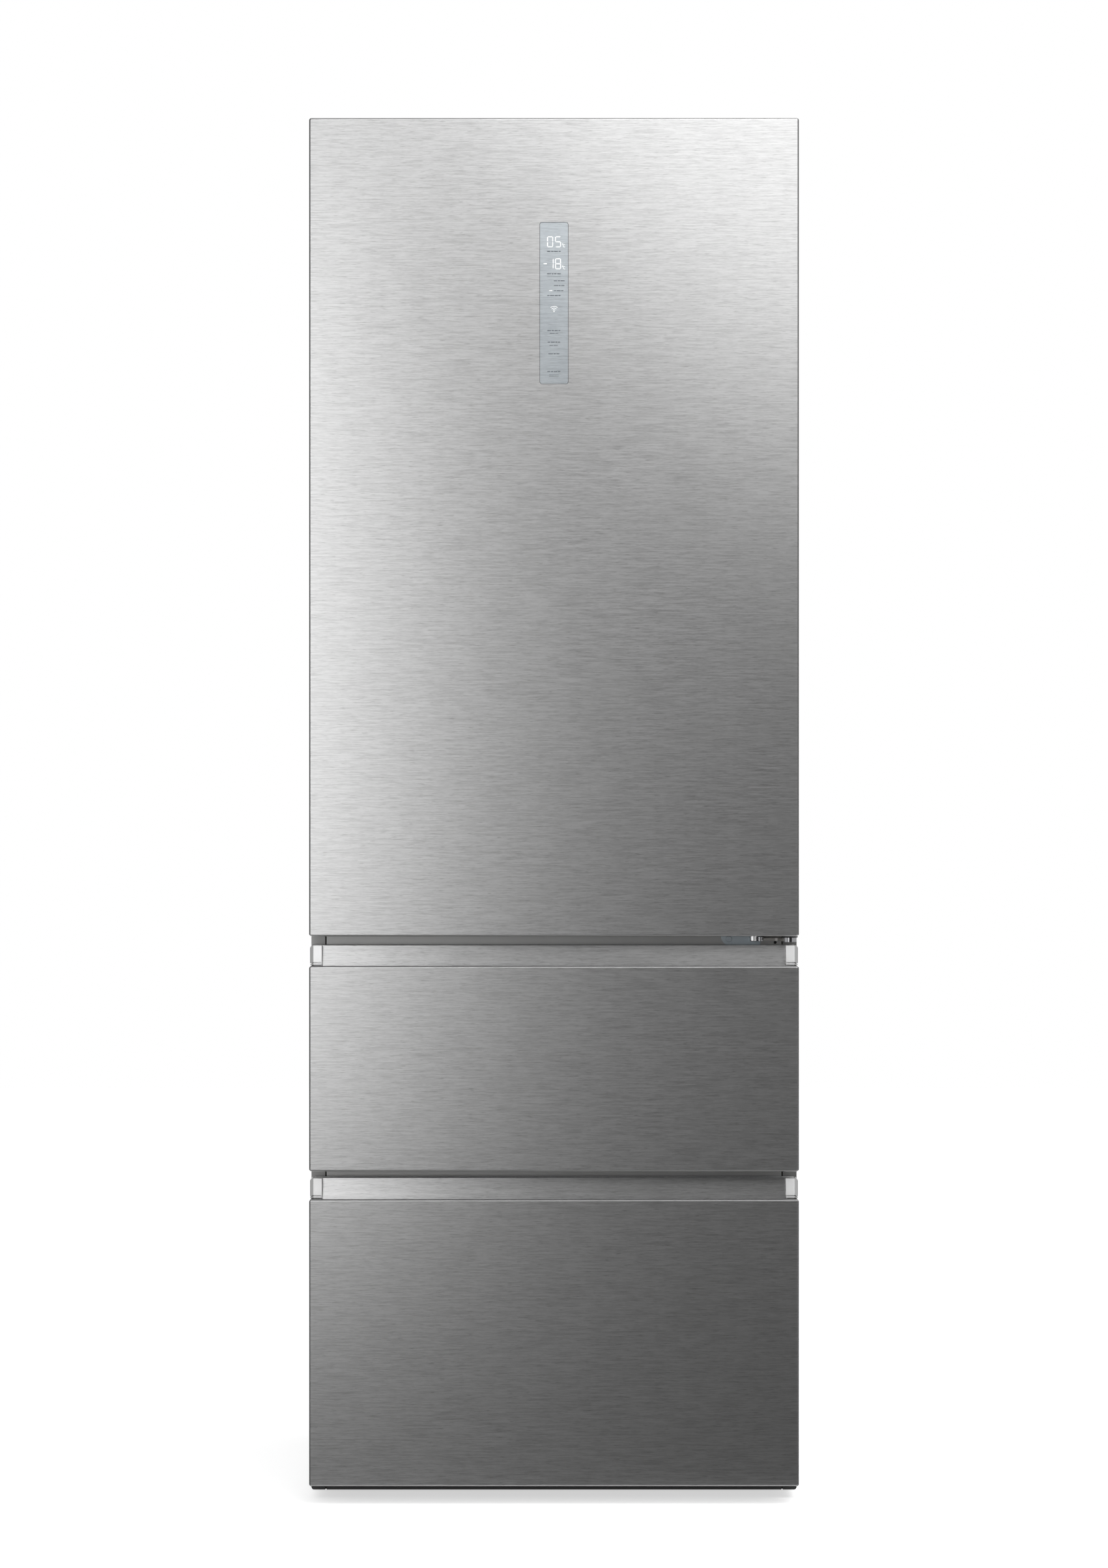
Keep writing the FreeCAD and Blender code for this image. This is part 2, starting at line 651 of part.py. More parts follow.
def evaporator_cover():
    """Freezer back wall with a round fan grille and a row of return slots."""
    x = (-cavity_x + 0.5, cavity_x - 0.5)
    z = (step_z + 0.3, freezer_z[1] - 0.3)
    wall = plate("y", evaporator_y, evaporator_y + 3, x, z, 4)
    holes = []
    for i in range(4):
        ring = FAN_RADIUS * (0.34 + 0.2 * i)
        start = Vector(0, evaporator_y - 3, fan_z)
        disc = Part.makeCylinder(ring + 3, 10, start, Vector(0, 1, 0))
        holes.append(disc.cut(Part.makeCylinder(ring - 3, 10, start, Vector(0, 1, 0))))
    mouth = Part.makeCompound(holes)
    for turn in (0, 60, 120):
        reach = FAN_RADIUS + 8
        spoke = block((-reach, reach), (evaporator_y - 4, evaporator_y + 8), (fan_z - 3, fan_z + 3))
        spoke.rotate(Vector(0, evaporator_y, fan_z), Vector(0, 1, 0), turn)
        mouth = mouth.cut(spoke)
    wall = wall.cut(mouth)
    slots = []
    for i in range(RETURN_SLOTS):
        middle = RETURN_SLOT_PITCH * (i - (RETURN_SLOTS - 1) / 2)
        x_span = grown((middle, middle), RETURN_SLOT_WIDTH / 2)
        slots.append(plate("y", evaporator_y - 1, evaporator_y + 4, x_span, (z[0] + 18, z[0] + 26), 3.9))
    return wall.cut(Part.makeCompound(slots))


def air_duct_cover():
    """Upright duct on the fridge back wall, with a pair of slots for each shelf space."""
    wide = DUCT_WIDTH / 2
    face = cavity_back - DUCT_DEPTH
    section = [(-wide, cavity_back), (-wide + 14, face, 12), (wide - 14, face, 12), (wide, cavity_back)]
    duct = prism("z", cover_z + 24, fridge_z[1] - 24, section)
    slots = []
    for level in [z + shelf_pitch * 0.55 for z in [cover_z] + shelf_zs]:
        for side in (-1, 1):
            middle = side * wide * 0.45
            x_span = (middle - 26, middle + 26)
            slots.append(plate("y", face - 1, face + 12, x_span, (level - 5, level + 5), 4.9))
    return duct.cut(Part.makeCompound(slots))


def glass_shelf(level):
    """Toughened glass plate."""
    side = cavity_x - 1.5
    return plate("z", level, level + SHELF_GLASS, (-side, side), shelf_y, 5)


def shelf_trim(level, rear):
    """Channel pushed over the front or rear edge of a shelf."""
    edge = shelf_y[1] if rear else shelf_y[0]
    out = 1 if rear else -1
    low = level - 3
    high = level + SHELF_GLASS + 3
    corners = [
        (edge + out * 5, low, 3),
        (edge + out * 5, high, 3),
        (edge - out * 10, high, 1),
        (edge - out * 10, level + SHELF_GLASS),
        (edge, level + SHELF_GLASS),
        (edge, level),
        (edge - out * 10, level),
        (edge - out * 10, low, 1),
    ]
    side = cavity_x - 12
    return prism("x", -side, side, corners)


def crisper_drawer():
    """Deep clear drawer standing on the fridge floor, with a grip lip along its front."""
    low = fridge_z[0]
    high = low + CRISPER_HEIGHT
    x = (-inner_drawer_x, inner_drawer_x)
    box = tub(x, inner_drawer_y, (low, high), 10, BIN_WALL, 18)
    return joined([box, inner_drawer_grip(high)])


def inner_drawer_grip(high):
    """Lip along the front of an inner drawer, tapered underneath."""
    face = inner_drawer_y[0]
    lip = [(face + 1, high - 22), (face - 5, high - 16, 3), (face - 5, high, 1), (face + 1, high)]
    end = inner_drawer_x - INNER_GRIP_INSET
    return prism("x", -end, end, lip)


def chiller_drawer():
    """Shallow drawer hung by its rim on ribs of the liner."""
    low = fridge_z[0] + CHILLER_LEVEL
    high = low + CHILLER_HEIGHT
    x = (-inner_drawer_x, inner_drawer_x)
    pieces = [tub(x, inner_drawer_y, (low, high), 6, BIN_WALL, 16), inner_drawer_grip(high)]
    for side in (-1, 1):
        rim = sorted((side * (inner_drawer_x - 1.5), side * (cavity_x - 2)))
        pieces.append(block(rim, grown(inner_drawer_y, -16), (high - 6, high - 3)))
    return joined(pieces)


def light_strip(side):
    """Frosted lens over a row of lamps near the front of a side wall."""
    x = sorted((side * (cavity_x - 2.5), side * cavity_x))
    z = (cover_z + 60, fridge_z[1] - 60)
    return plate("x", x[0], x[1], (cabinet_y + 46, cabinet_y + 70), z, 8)


def control_box():
    """Recessed box at the back for the control board, with its cover."""
    wall = 2.0
    box = block(control_x, (control_y, rear_y), control_z)
    inside = block(grown(control_x, -wall), (control_y + wall, rear_y + 1), grown(control_z, -wall))
    cover = plate("y", rear_y, back_y - 0.5, grown(control_x, -0.6), grown(control_z, -0.6), 5)
    floor = control_y + wall
    board = plate("y", floor, floor + 14, grown(control_x, -14), grown(control_z, -14), 2)
    return box.cut(inside), cover, board


def top_hinge():
    """Flat bracket on the cabinet top whose arm reaches out over the door."""
    reach = 8.5
    back = cabinet_y + 76
    corners = [
        (pivot_x - reach, pivot_y - reach, reach - 0.1),
        (pivot_x + reach, pivot_y - reach, reach - 0.1),
        (pivot_x + reach, back, 5),
        (pivot_x - 66, back, 5),
        (pivot_x - 66, cabinet_y + 14, 5),
        (pivot_x - reach, cabinet_y + 2, 10),
    ]
    return prism("z", cabinet_top, cabinet_top + HINGE_PLATE, corners)


def top_hinge_cover():
    """Hollow plastic cover over the top hinge."""
    x = (pivot_x - 96, half - 0.5)
    y = (cabinet_y - 6, cabinet_y + 112)
    high = cabinet_top + 18
    shell = plate("z", cabinet_top, high, x, y, 9)
    shell = shell.makeFillet(5, edges_at(shell, "Z", high))
    inside = plate("z", cabinet_top - 1, high - 2.5, grown(x, -2.5), grown(y, -2.5), 6.5)
    gate_z = (cabinet_top - 1, cabinet_top + HINGE_PLATE + 1)
    return shell.cut(inside).cut(block((pivot_x - 20, half), (y[0] - 1, y[0] + 12), gate_z))


def hinge_arm():
    """Arm of the middle hinge: it ends in a round nose under the lower pin."""
    nose = BUSH_RADIUS - 1.5
    left = stud_x - STUD_RADIUS
    return prism("z", arm_z[0], arm_z[1], [
        (left, cabinet_y),
        (left, arm_y, 3),
        (pivot_x - 16, arm_y, 6),
        (pivot_x - nose, pivot_y - nose, nose - 0.1),
        (pivot_x + nose, pivot_y - nose, nose - 0.1),
        (pivot_x + nose, cabinet_y),
    ])


def middle_hinge():
    """Leaf on the mullion cover with a rounded end, and the arm that carries the lower pin."""
    high = door_z[0] + 11.5
    low = door_z[0] - 15.5
    leaf = prism("y", cabinet_y - 2.5, cabinet_y, [
        (leaf_x, low, 13.4),
        (leaf_end - 1.5, low),
        (leaf_end, arm_z[0]),
        (rim_x, arm_z[0], 1),
        (rim_x, high, 1),
        (leaf_x, high, 13.4),
    ])
    return joined([leaf, hinge_arm()]).cut(stop_stud()).cut(stop_roller())


def stop_stud():
    """Plated stud through the arm, rounded at its lower end."""
    foot = Vector(stud_x, arm_y - 2, arm_z[0] - 0.7)
    stud = Part.makeCylinder(STUD_RADIUS, door_z[0] - 0.8 - foot.z, foot)
    return stud.makeFillet(1.2, edges_at(stud, "Z", foot.z))


def stop_roller():
    """Roller in the front edge of the arm beside the stud."""
    foot = Vector(stud_x + STUD_RADIUS + STOP_RADIUS + 0.2, arm_y, arm_z[0] - 0.4)
    return rod(foot, Vector(foot.x, foot.y, arm_z[1] + 1.4), STOP_RADIUS)


def lower_pin():
    """Pin on the arm that carries the door."""
    foot = Vector(pivot_x, pivot_y, arm_z[1])
    return rod(foot, foot + Vector(0, 0, door_z[0] + 16 - arm_z[1]), PIN_RADIUS)


def hinge_knuckle():
    """Knuckle round the nose of the arm and the lower pin: the bush of the door turns just above it."""
    low = Vector(pivot_x, pivot_y, arm_z[0] - 0.8)
    high = Vector(pivot_x, pivot_y, door_z[0] - 2.7)
    return rod(low, high, BUSH_RADIUS + 0.2).cut(hinge_arm()).cut(lower_pin())


def screw(centre, axis, radius):
    """Pan screw head with a cross slot."""
    head = Part.makeCylinder(radius, 2.4)
    head = head.makeFillet(0.9, edges_at(head, "Z", 2.4))
    for turn in (0, 90):
        slot = block((-radius * 0.62, radius * 0.62), (-0.6, 0.6), (1.2, 3))
        slot.rotate(Vector(0, 0, 0), Vector(0, 0, 1), turn + 20)
        head = head.cut(slot)
    head.Placement = FreeCAD.Placement(centre, FreeCAD.Rotation(Vector(0, 0, 1), axis))
    return head


def hinge_hardware():
    """Hinge pins, the stop stud and the visible screws."""
    high = Vector(pivot_x, pivot_y, cabinet_top)
    upper = rod(high - Vector(0, 0, 17), high, PIN_RADIUS)
    solids = [lower_pin(), upper, stop_stud()]
    solids.append(screw(Vector(leaf_x + 11, cabinet_y - 2.5, door_z[0] - 6), Vector(0, -1, 0), 4.5))
    for x in (pivot_x - 52, pivot_x - 28, pivot_x - 4):
        solids.append(screw(Vector(x, cabinet_y + 58, cabinet_top + HINGE_PLATE), Vector(0, 0, 1), 5))
    return solids


def steel_front(z):
    """Steel panel folded into a shallow tray, with rounded edges and corners."""
    x = (-half, half)
    deep = front_y + RETURN_DEPTH
    outer = plate("y", front_y, deep, x, z, CORNER_ROUND)
    outer = outer.makeFillet(EDGE_ROUND, edges_at(outer, "Y", front_y))
    inside = plate("y", front_y + SHEET, deep + 1, grown(x, -SHEET), grown(z, -SHEET), CORNER_ROUND - SHEET)
    inside = inside.makeFillet(EDGE_ROUND - SHEET, edges_at(inside, "Y", front_y + SHEET))
    return outer.cut(inside)


def front_fill(z):
    """Space inside a folded steel panel, back to the inner liner."""
    x = (-half + SHEET, half - SHEET)
    fill = plate("y", front_y + SHEET, liner_y, x, grown(z, -SHEET), CORNER_ROUND - SHEET)
    return fill.makeFillet(EDGE_ROUND - SHEET, edges_at(fill, "Y", front_y + SHEET))


def front_gasket(z):
    """Ribbed magnetic seal round the back of a front: foot, waist and sealing lip."""
    x = (-half + GASKET_INSET, half - GASKET_INSET)
    tip = cabinet_y - SEAL_CLEARANCE
    third = (tip - liner_y) / 3
    foot = frame("y", liner_y, liner_y + third, grown(x, -2), grown(z, -2), GASKET_WIDTH - 4, 6)
    waist = frame("y", liner_y + third, tip - third, grown(x, -3.5), grown(z, -3.5), GASKET_WIDTH - 7, 5)
    lip = frame("y", tip - third, tip, x, z, GASKET_WIDTH, 8)
    return joined([foot, waist, lip])


def door_panel():
    """Steel face of the door: the sides stop under the hinge arm, and the display has its window."""
    tray = steel_front(door_z)
    tray = tray.cut(block((-half - 1, half + 1), (front_y + HEM, back_y), (cap_top, door_z[1] + 1)))
    x = (-DISPLAY_WIDTH / 2, DISPLAY_WIDTH / 2)
    window = plate("y", front_y - 1, front_y + 5, x, display_z, DISPLAY_ROUND)
    low = Vector(pivot_x, pivot_y, door_z[0] - 1)
    hole = rod(low, low + Vector(0, 0, 4), BUSH_RADIUS + BUSH_CLEARANCE)
    return tray.cut(window).cut(hole).cut(finger_recess())


def finger_recess():
    """Space for the fingers under the front edge of the door."""
    z = grown((door_z[0], door_z[0]), 14)
    return plate("x", -half + 20, pivot_x - 60, (front_y + 10, front_y + 36), z, 8)


def display_window():
    """Clear lens set flush in the door panel, with its light board behind it."""
    x = (-DISPLAY_WIDTH / 2 + DISPLAY_JOINT, DISPLAY_WIDTH / 2 - DISPLAY_JOINT)
    z = grown(display_z, -DISPLAY_JOINT)
    lens = plate("y", front_y + 0.2, front_y + 3.2, x, z, DISPLAY_ROUND - DISPLAY_JOINT)
    return lens, block(grown(x, -1), (front_y + 3.2, front_y + 11), grown(z, -1))


def door_liner():
    """Insulated core of the door with a raised dyke round its back and lugs that carry the bins."""
    z = (door_z[0] + END_CAP, cap_top - END_CAP)
    core = front_fill(door_z).common(block((-half, half), (front_y, back_y), z))
    core = core.cut(block(grown((-DISPLAY_WIDTH / 2, DISPLAY_WIDTH / 2), 2), (front_y, front_y + 12),
                          grown(display_z, 2)))
    x = (-cavity_x + DYKE_GAP, cavity_x - DYKE_GAP)
    dyke = frame("y", liner_y, liner_y + DYKE_RISE, x, grown(fridge_z, -DYKE_GAP), DYKE_WIDTH, 30)
    dyke = dyke.makeFillet(7, edges_at(dyke, "Y", liner_y + DYKE_RISE))
    pieces = [core, dyke]
    for level, height in bin_places:
        lug = plate("x", bin_x + 1, x[1] - DYKE_WIDTH + 2, (liner_y + 4, liner_y + 26),
                    (level + height - 30, level + height - 10), 3)
        pieces.extend([lug, mirrored(lug)])
    return joined(pieces)


def door_end_caps():
    """Plastic caps that close the top and bottom of the door, with a finger recess in the lower one."""
    fill = front_fill(door_z)
    low = fill.common(block((-half, half), (front_y, back_y), (door_z[0], door_z[0] + END_CAP)))
    high = fill.common(block((-half, half), (front_y, back_y), (cap_top - END_CAP, cap_top)))
    caps = []
    for cap in (low.cut(finger_recess()), high):
        low = Vector(pivot_x, pivot_y, base_z)
        bore = rod(low, Vector(pivot_x, pivot_y, door_z[1]), BUSH_RADIUS + BUSH_CLEARANCE)
        caps.append(cap.cut(bore))
    return caps


def hinge_bushes():
    """Plain bushes in the door's end caps that turn on the hinge pins."""
    low = Vector(pivot_x, pivot_y, door_z[0])
    sleeve = rod(low - Vector(0, 0, 2.5), low + Vector(0, 0, 18), BUSH_RADIUS)
    lower = joined([sleeve, rod(low - Vector(0, 0, 2.5), low, BUSH_RADIUS + 1.5)])
    high = Vector(pivot_x, pivot_y, cap_top)
    upper = rod(high - Vector(0, 0, 19), high + Vector(0, 0, 0.6), BUSH_RADIUS)
    bore = rod(low - Vector(0, 0, 20), high + Vector(0, 0, 20), PIN_RADIUS + RUNNING_CLEARANCE)
    return lower.cut(bore), upper.cut(bore)


def door_bin(level, height):
    """Door bin: a tapered tub with an ear on each side that sits on a lug of the door liner."""
    y = (liner_y + 1.5, liner_y + 1.5 + BIN_DEPTH)
    box = tub((-bin_x, bin_x), y, (level, level + height), 7, BIN_WALL, 22)
    x = (bin_x - 1.5, bin_x + BIN_SIDE_GAP - 0.5)
    high = level + height - 6
    ear = block(x, (liner_y + 26, liner_y + 30), (high - 22, high))
    top = block(x, (liner_y + 6, liner_y + 30), (high - 4, high))
    pieces = [box]
    for part in (ear, top):
        pieces.extend([part, mirrored(part)])
    return joined(pieces)


def drawer_core(z):
    """Insulated core of a drawer front, cut away for the grip pocket and carried up behind the strip."""
    top = z[1] + GRIP_RISE
    end = half - GRIP_CAP_WIDTH
    back = front_y + GRIP_SETBACK + GRIP_WALL
    pocket = block((-end, end), (front_y, back), (z[1] - POCKET_DEPTH - GRIP_WALL, top))
    rise = block((-end, end), (back, liner_y), (z[1] - SHEET, top))
    return joined([front_fill(z).cut(pocket), rise])


def grip_strip(z):
    """J-shaped strip that lines the finger pocket and shows above the drawer panel."""
    front = front_y + SHEET
    back = front_y + GRIP_SETBACK + GRIP_WALL
    low = z[1] - POCKET_DEPTH - GRIP_WALL
    lip = z[1] - 3
    top = z[1] + GRIP_RISE
    corners = [
        (front, lip, 0.6),
        (front, low, 9),
        (back, low, 9),
        (back, top, 0.6),
        (back - GRIP_WALL, top, 0.6),
        (back - GRIP_WALL - GRIP_LEAN, low + GRIP_WALL, 7),
        (front + GRIP_WALL, low + GRIP_WALL, 7),
        (front + GRIP_WALL, lip, 0.6),
    ]
    end = half - GRIP_CAP_WIDTH - 0.3
    return prism("x", -end, end, corners)


def grip_cap(z):
    """End cap of a grip strip: bevelled outside, rounded at its outer top corner, grooved over its foot."""
    inner = half - GRIP_CAP_WIDTH
    bevel = half - GRIP_CAP_BEVEL
    face = front_y + GRIP_CAP_SETBACK
    low = z[1] + 5.0
    top = z[1] + GRIP_RISE
    post = prism("z", z[1], top, [
        (inner, face, 0.6),
        (bevel, face, 1.5),
        (half, face + 2 * GRIP_CAP_BEVEL, 1.5),
        (half, liner_y),
        (inner, liner_y),
    ])
    upper = prism("y", front_y, liner_y, [
        (inner, low),
        (bevel, low),
        (half, low - GRIP_CAP_DROP),
        (half, top, 5),
        (inner, top),
    ])
    band_z = (z[1] + 1.6, z[1] + 3.4)
    band = prism("y", front_y, liner_y, [
        (inner, band_z[0]),
        (bevel, band_z[0]),
        (half, z[1] + 0.1),
        (half, band_z[1] - GRIP_CAP_DROP),
        (bevel, band_z[1]),
        (inner, band_z[1]),
    ])
    neck = block((inner, half - 4), (face + 8, liner_y), (z[1], low + 1))
    return joined([post.common(upper), post.common(band), neck])


def drawer_panel(z):
    """Steel face of a drawer: over the grip pocket its top fold is only a narrow hem."""
    end = half - GRIP_CAP_WIDTH
    mouth = block((-end, end), (front_y + HEM, back_y), (z[1] - SHEET - 3, z[1] + 1))
    return steel_front(z).cut(mouth)


def channel(wall, deep, height, level, thick, side):
    """Corners of a C section that opens towards the middle of the cabinet."""
    tip = wall - deep
    low = level - height / 2
    high = level + height / 2
    return [(side * x, z) for x, z in (
        (wall, high), (tip, high), (tip, high - thick), (wall - thick, high - thick),
        (wall - thick, low + thick), (tip, low + thick), (tip, low), (wall, low))]


def rail_set(level):
    """Outer, middle and inner rails on both sides: each nests in the next with a running clearance."""
    start = cabinet_y + RAIL_START
    stop = evaporator_y - RAIL_END_GAP
    step = RAIL_WALL + RAIL_CLEARANCE
    tip = cavity_x - RAIL_DEPTH
    outer = []
    middle = []
    inner = []
    for side in (1, -1):
        section = channel(cavity_x, RAIL_DEPTH, RAIL_HEIGHT, level, RAIL_WALL, side)
        outer.append(prism("y", start, stop, section))
        height = RAIL_HEIGHT - 2 * step
        section = channel(cavity_x - step, RAIL_DEPTH - step, height, level, RAIL_WALL, side)
        middle.append(prism("y", start, stop, section))
        high = level + RAIL_HEIGHT / 2 - 2 * step
        low = level - RAIL_HEIGHT / 2 + 2 * step
        deep = cavity_x - 2 * step
        web = tip - RAIL_CLEARANCE
        inside = web - RAIL_WALL
        ledge = inside - RAIL_LEDGE
        section = [(side * x, z) for x, z in (
            (deep, high), (inside, high), (inside, level), (ledge, level),
            (ledge, level - RAIL_WALL), (inside, level - RAIL_WALL), (inside, low), (deep, low),
            (deep, low + RAIL_WALL), (web, low + RAIL_WALL),
            (web, high - RAIL_WALL), (deep, high - RAIL_WALL))]
        bar = prism("y", liner_y + 2, stop, section)
        flange_x = sorted((side * ledge, side * deep))
        foot = block(flange_x, (liner_y, liner_y + 2.5), (level - 34, high))
        inner.append(joined([bar, foot]))
    return outer, middle, inner


def basket(level, floor, rear):
    """Freezer basket: a tapered tub that hangs by its rim on the inner rails."""
    edge = cavity_x - RAIL_DEPTH - RAIL_CLEARANCE - RAIL_WALL - 0.4
    wide = edge - RAIL_LEDGE - 0.6
    x = (-wide, wide)
    y = (liner_y + BASKET_FRONT_GAP, rear)
    z = (floor, level + BASKET_RISE)
    box = tub(x, y, z, BASKET_TAPER, BASKET_WALL, BASKET_ROUND)
    rim_z = (level, level + BASKET_RIM)
    rim = frame("z", rim_z[0], rim_z[1], (-edge, edge), y, edge - wide + 1.6, BASKET_ROUND * 0.5)
    keep = block((-half, half), grown(y, -BASKET_ROUND), rim_z)
    return joined([box, rim.common(keep).cut(basket_inside(x, y, z))])


def basket_inside(x, y, z):
    """Space inside a basket, used to trim its rim."""
    inset = BASKET_TAPER + 1
    floor = rounded(grown(x, -inset), grown(y, -inset), BASKET_ROUND - BASKET_TAPER / 2)
    mouth = rounded(grown(x, -1), grown(y, -1), BASKET_ROUND - 1)
    return Part.makeLoft([outline("z", z[0], floor), outline("z", z[1], mouth)], True, True)


foot_x = half - FOOT_INSET
foot_y = cabinet_y + FOOT_SETBACK
roller_x = half - ROLLER_INSET
roller_y = back_y - ROLLER_SETBACK
machine_floor = base_z + SHEET + 2
compressor_z = machine_floor + COMPRESSOR_LIFT
compressor_x = COMPRESSOR_INSET - half
bay_y = (machine_y + back_y) / 2
fan_z = freezer_z[1] - FAN_DROP
control_x = (-110.0, 110.0)
control_z = (cabinet_top - 250.0, cabinet_top - 110.0)
control_y = rear_y - 34.0
display_z = (door_z[1] - DISPLAY_DROP - DISPLAY_HEIGHT, door_z[1] - DISPLAY_DROP)
bottle_z = dyke_z[0] + BIN_LIFT
first_bin = bottle_z + BOTTLE_BIN_HEIGHT + BOTTLE_ROOM
last_bin = dyke_z[1] - BIN_TOP_GAP - BIN_HEIGHT
bin_pitch = (last_bin - first_bin) / (BIN_COUNT - 1)
bin_places = [(first_bin + bin_pitch * i, BIN_HEIGHT) for i in range(BIN_COUNT)]
bin_places.append((bottle_z, BOTTLE_BIN_HEIGHT))
leaf_x = half - 109.0
leaf_end = half - 52.0
stud_x = half - 63.2
arm_y = cabinet_y - 19.0
arm_z = (door_z[0] - 3.9 - HINGE_PLATE, door_z[0] - 3.9)

os.makedirs("parts", exist_ok=True)

save("outer_cabinet", outer_cabinet())
save("rear_panel", rear_panel())
save("insulation_foam", insulation_foam())
save("fridge_liner", fridge_liner())
save("freezer_liner", freezer_liner())
save("mullion_cover", mullion_cover())
save("freezer_crossbar", freezer_crossbar())
save("base_pan", base_pan())

save("front_foot_left", front_foot(-1))
save("front_foot_right", front_foot(1))
save("rear_rollers", rear_roller(-1), rear_roller(1))
save("roller_axles", roller_axle(-1), roller_axle(1))

save("machine_base", machine_base())
save("compressor", compressor())
condenser_x = (half - CONDENSER_INSET - CONDENSER_WIDTH, half - CONDENSER_INSET)
condenser_y = (machine_y + CONDENSER_SETBACK, back_y - CONDENSER_SETBACK)
condenser_z = (machine_floor, machine_floor + CONDENSER_HEIGHT)
save("condenser", fin_coil(condenser_x, condenser_y, condenser_z, 26, 5))
blower_size = 2 * (FAN_RADIUS + CONDENSER_FAN_RIM)
blower = Vector(condenser_x[0] - BLOWER_GAP, bay_y, machine_floor + blower_size / 2)
save("condenser_fan", fan(Vector(1, 0, 0), blower, FAN_RADIUS))
save("condenser_fan_frame", fan_frame(Vector(1, 0, 0), blower, FAN_RADIUS, blower_size))
tray_x = grown((compressor_x, compressor_x), DRIP_TRAY_LENGTH / 2)
tray_y = grown((bay_y, bay_y), DRIP_TRAY_WIDTH / 2)
tray_low = compressor_z + COMPRESSOR_HEIGHT
save("drip_tray", tub(tray_x, tray_y, (tray_low, tray_low + DRIP_TRAY_HEIGHT), 8, LINER, 14))
outlet = Vector(compressor_x + STUB_REACH, bay_y + STUB_SPREAD, compressor_z + OUTLET_LEVEL)
inlet = Vector(compressor_x + STUB_REACH, bay_y - STUB_SPREAD, compressor_z + INLET_LEVEL)
bend_x = (outlet.x + blower.x - 17) / 2
bend_y = blower.y + blower_size / 2 + 9
level = condenser_z[0] + CONDENSER_HEIGHT * 0.9
line = condenser_y[0] + (condenser_y[1] - condenser_y[0]) * 0.7
entry_x = condenser_x[0] - 20
hot = pipe([outlet, Vector(bend_x, outlet.y, outlet.z), Vector(bend_x, bend_y, outlet.z),
            Vector(bend_x, bend_y, level), Vector(entry_x, bend_y, level), Vector(entry_x, line, level),
            Vector(condenser_x[0], line, level)], 10, 3)
rear_line = inlet.y - 45
cold = pipe([inlet, Vector(bend_x, inlet.y, inlet.z), Vector(bend_x, rear_line, inlet.z),
             Vector(bend_x, rear_line, inlet.z + 60), Vector(bend_x, machine_y, inlet.z + 60)], 10, 3.5)
save("refrigerant_pipes", hot, cold)
save("machine_cover", machine_cover())

save("evaporator_cover", evaporator_cover())
coil_x = cavity_x - EVAPORATOR_INSET
coil_y = (evaporator_y + EVAPORATOR_SETBACK, cavity_back)
coil_z = (step_z + EVAPORATOR_LIFT, step_z + EVAPORATOR_LIFT + EVAPORATOR_HEIGHT)
save("evaporator", fin_coil((-coil_x, coil_x), coil_y, coil_z, 30, 5))
draught = Vector(0, evaporator_y + 15, fan_z)
draught_size = 2 * (FAN_RADIUS + EVAPORATOR_FAN_RIM)
save("evaporator_fan", fan(Vector(0, -1, 0), draught, FAN_RADIUS))
save("evaporator_fan_frame", fan_frame(Vector(0, -1, 0), draught, FAN_RADIUS, draught_size))

save("air_duct_cover", air_duct_cover())
save("interior_lights", light_strip(-1), light_strip(1))
save("glass_shelves", *[glass_shelf(level) for level in shelf_zs + [cover_z]])
trim_places = [(level, rear) for level in shelf_zs + [cover_z] for rear in (False, True)]
save("shelf_trims", *[shelf_trim(level, rear) for level, rear in trim_places])
save("crisper_drawer", crisper_drawer())
save("chiller_drawer", chiller_drawer())

save("control_box", *control_box())
save("top_hinge", top_hinge())
save("top_hinge_cover", top_hinge_cover())
save("middle_hinge", middle_hinge())
save("hinge_knuckle", hinge_knuckle(), stop_roller())
save("hinge_hardware", *hinge_hardware())

save("door_panel", door_panel())
save("door_liner", door_liner())
save("door_end_caps", *door_end_caps())
save("door_gasket", front_gasket((door_z[0] + GASKET_INSET, cap_top - GASKET_INSET)))
save("door_bins", *[door_bin(level, height) for level, height in bin_places])
save("display_window", *display_window())
save("hinge_bushes", *hinge_bushes())

fixed_rails = []
for name, z, space_top, floor, rear in (
        ("upper", upper_z, upper_z[1], crossbar_z[1], evaporator_y - UPPER_BASKET_GAP),
        ("lower", lower_z, crossbar_z[0], freezer_z[0], step_y - LOWER_BASKET_GAP)):
    rail_z = space_top - RAIL_DROP
    outer, middle, inner = rail_set(rail_z)
    fixed_rails.extend(outer)
    save(name + "_drawer_panel", drawer_panel(z))
    save(name + "_drawer_core", drawer_core(z))
    save(name + "_drawer_gasket", front_gasket((z[0] + 2, z[1] + GRIP_RISE - 4)))
    save(name + "_grip_strip", grip_strip(z))
    cap = grip_cap(z)
    save(name + "_grip_caps", cap, mirrored(cap))
    save(name + "_basket", basket(rail_z, floor + BASKET_FLOOR_GAP, rear))
    save(name + "_inner_rails", *inner)
    save(name + "_middle_rails", *middle)
save("outer_rails", *fixed_rails)
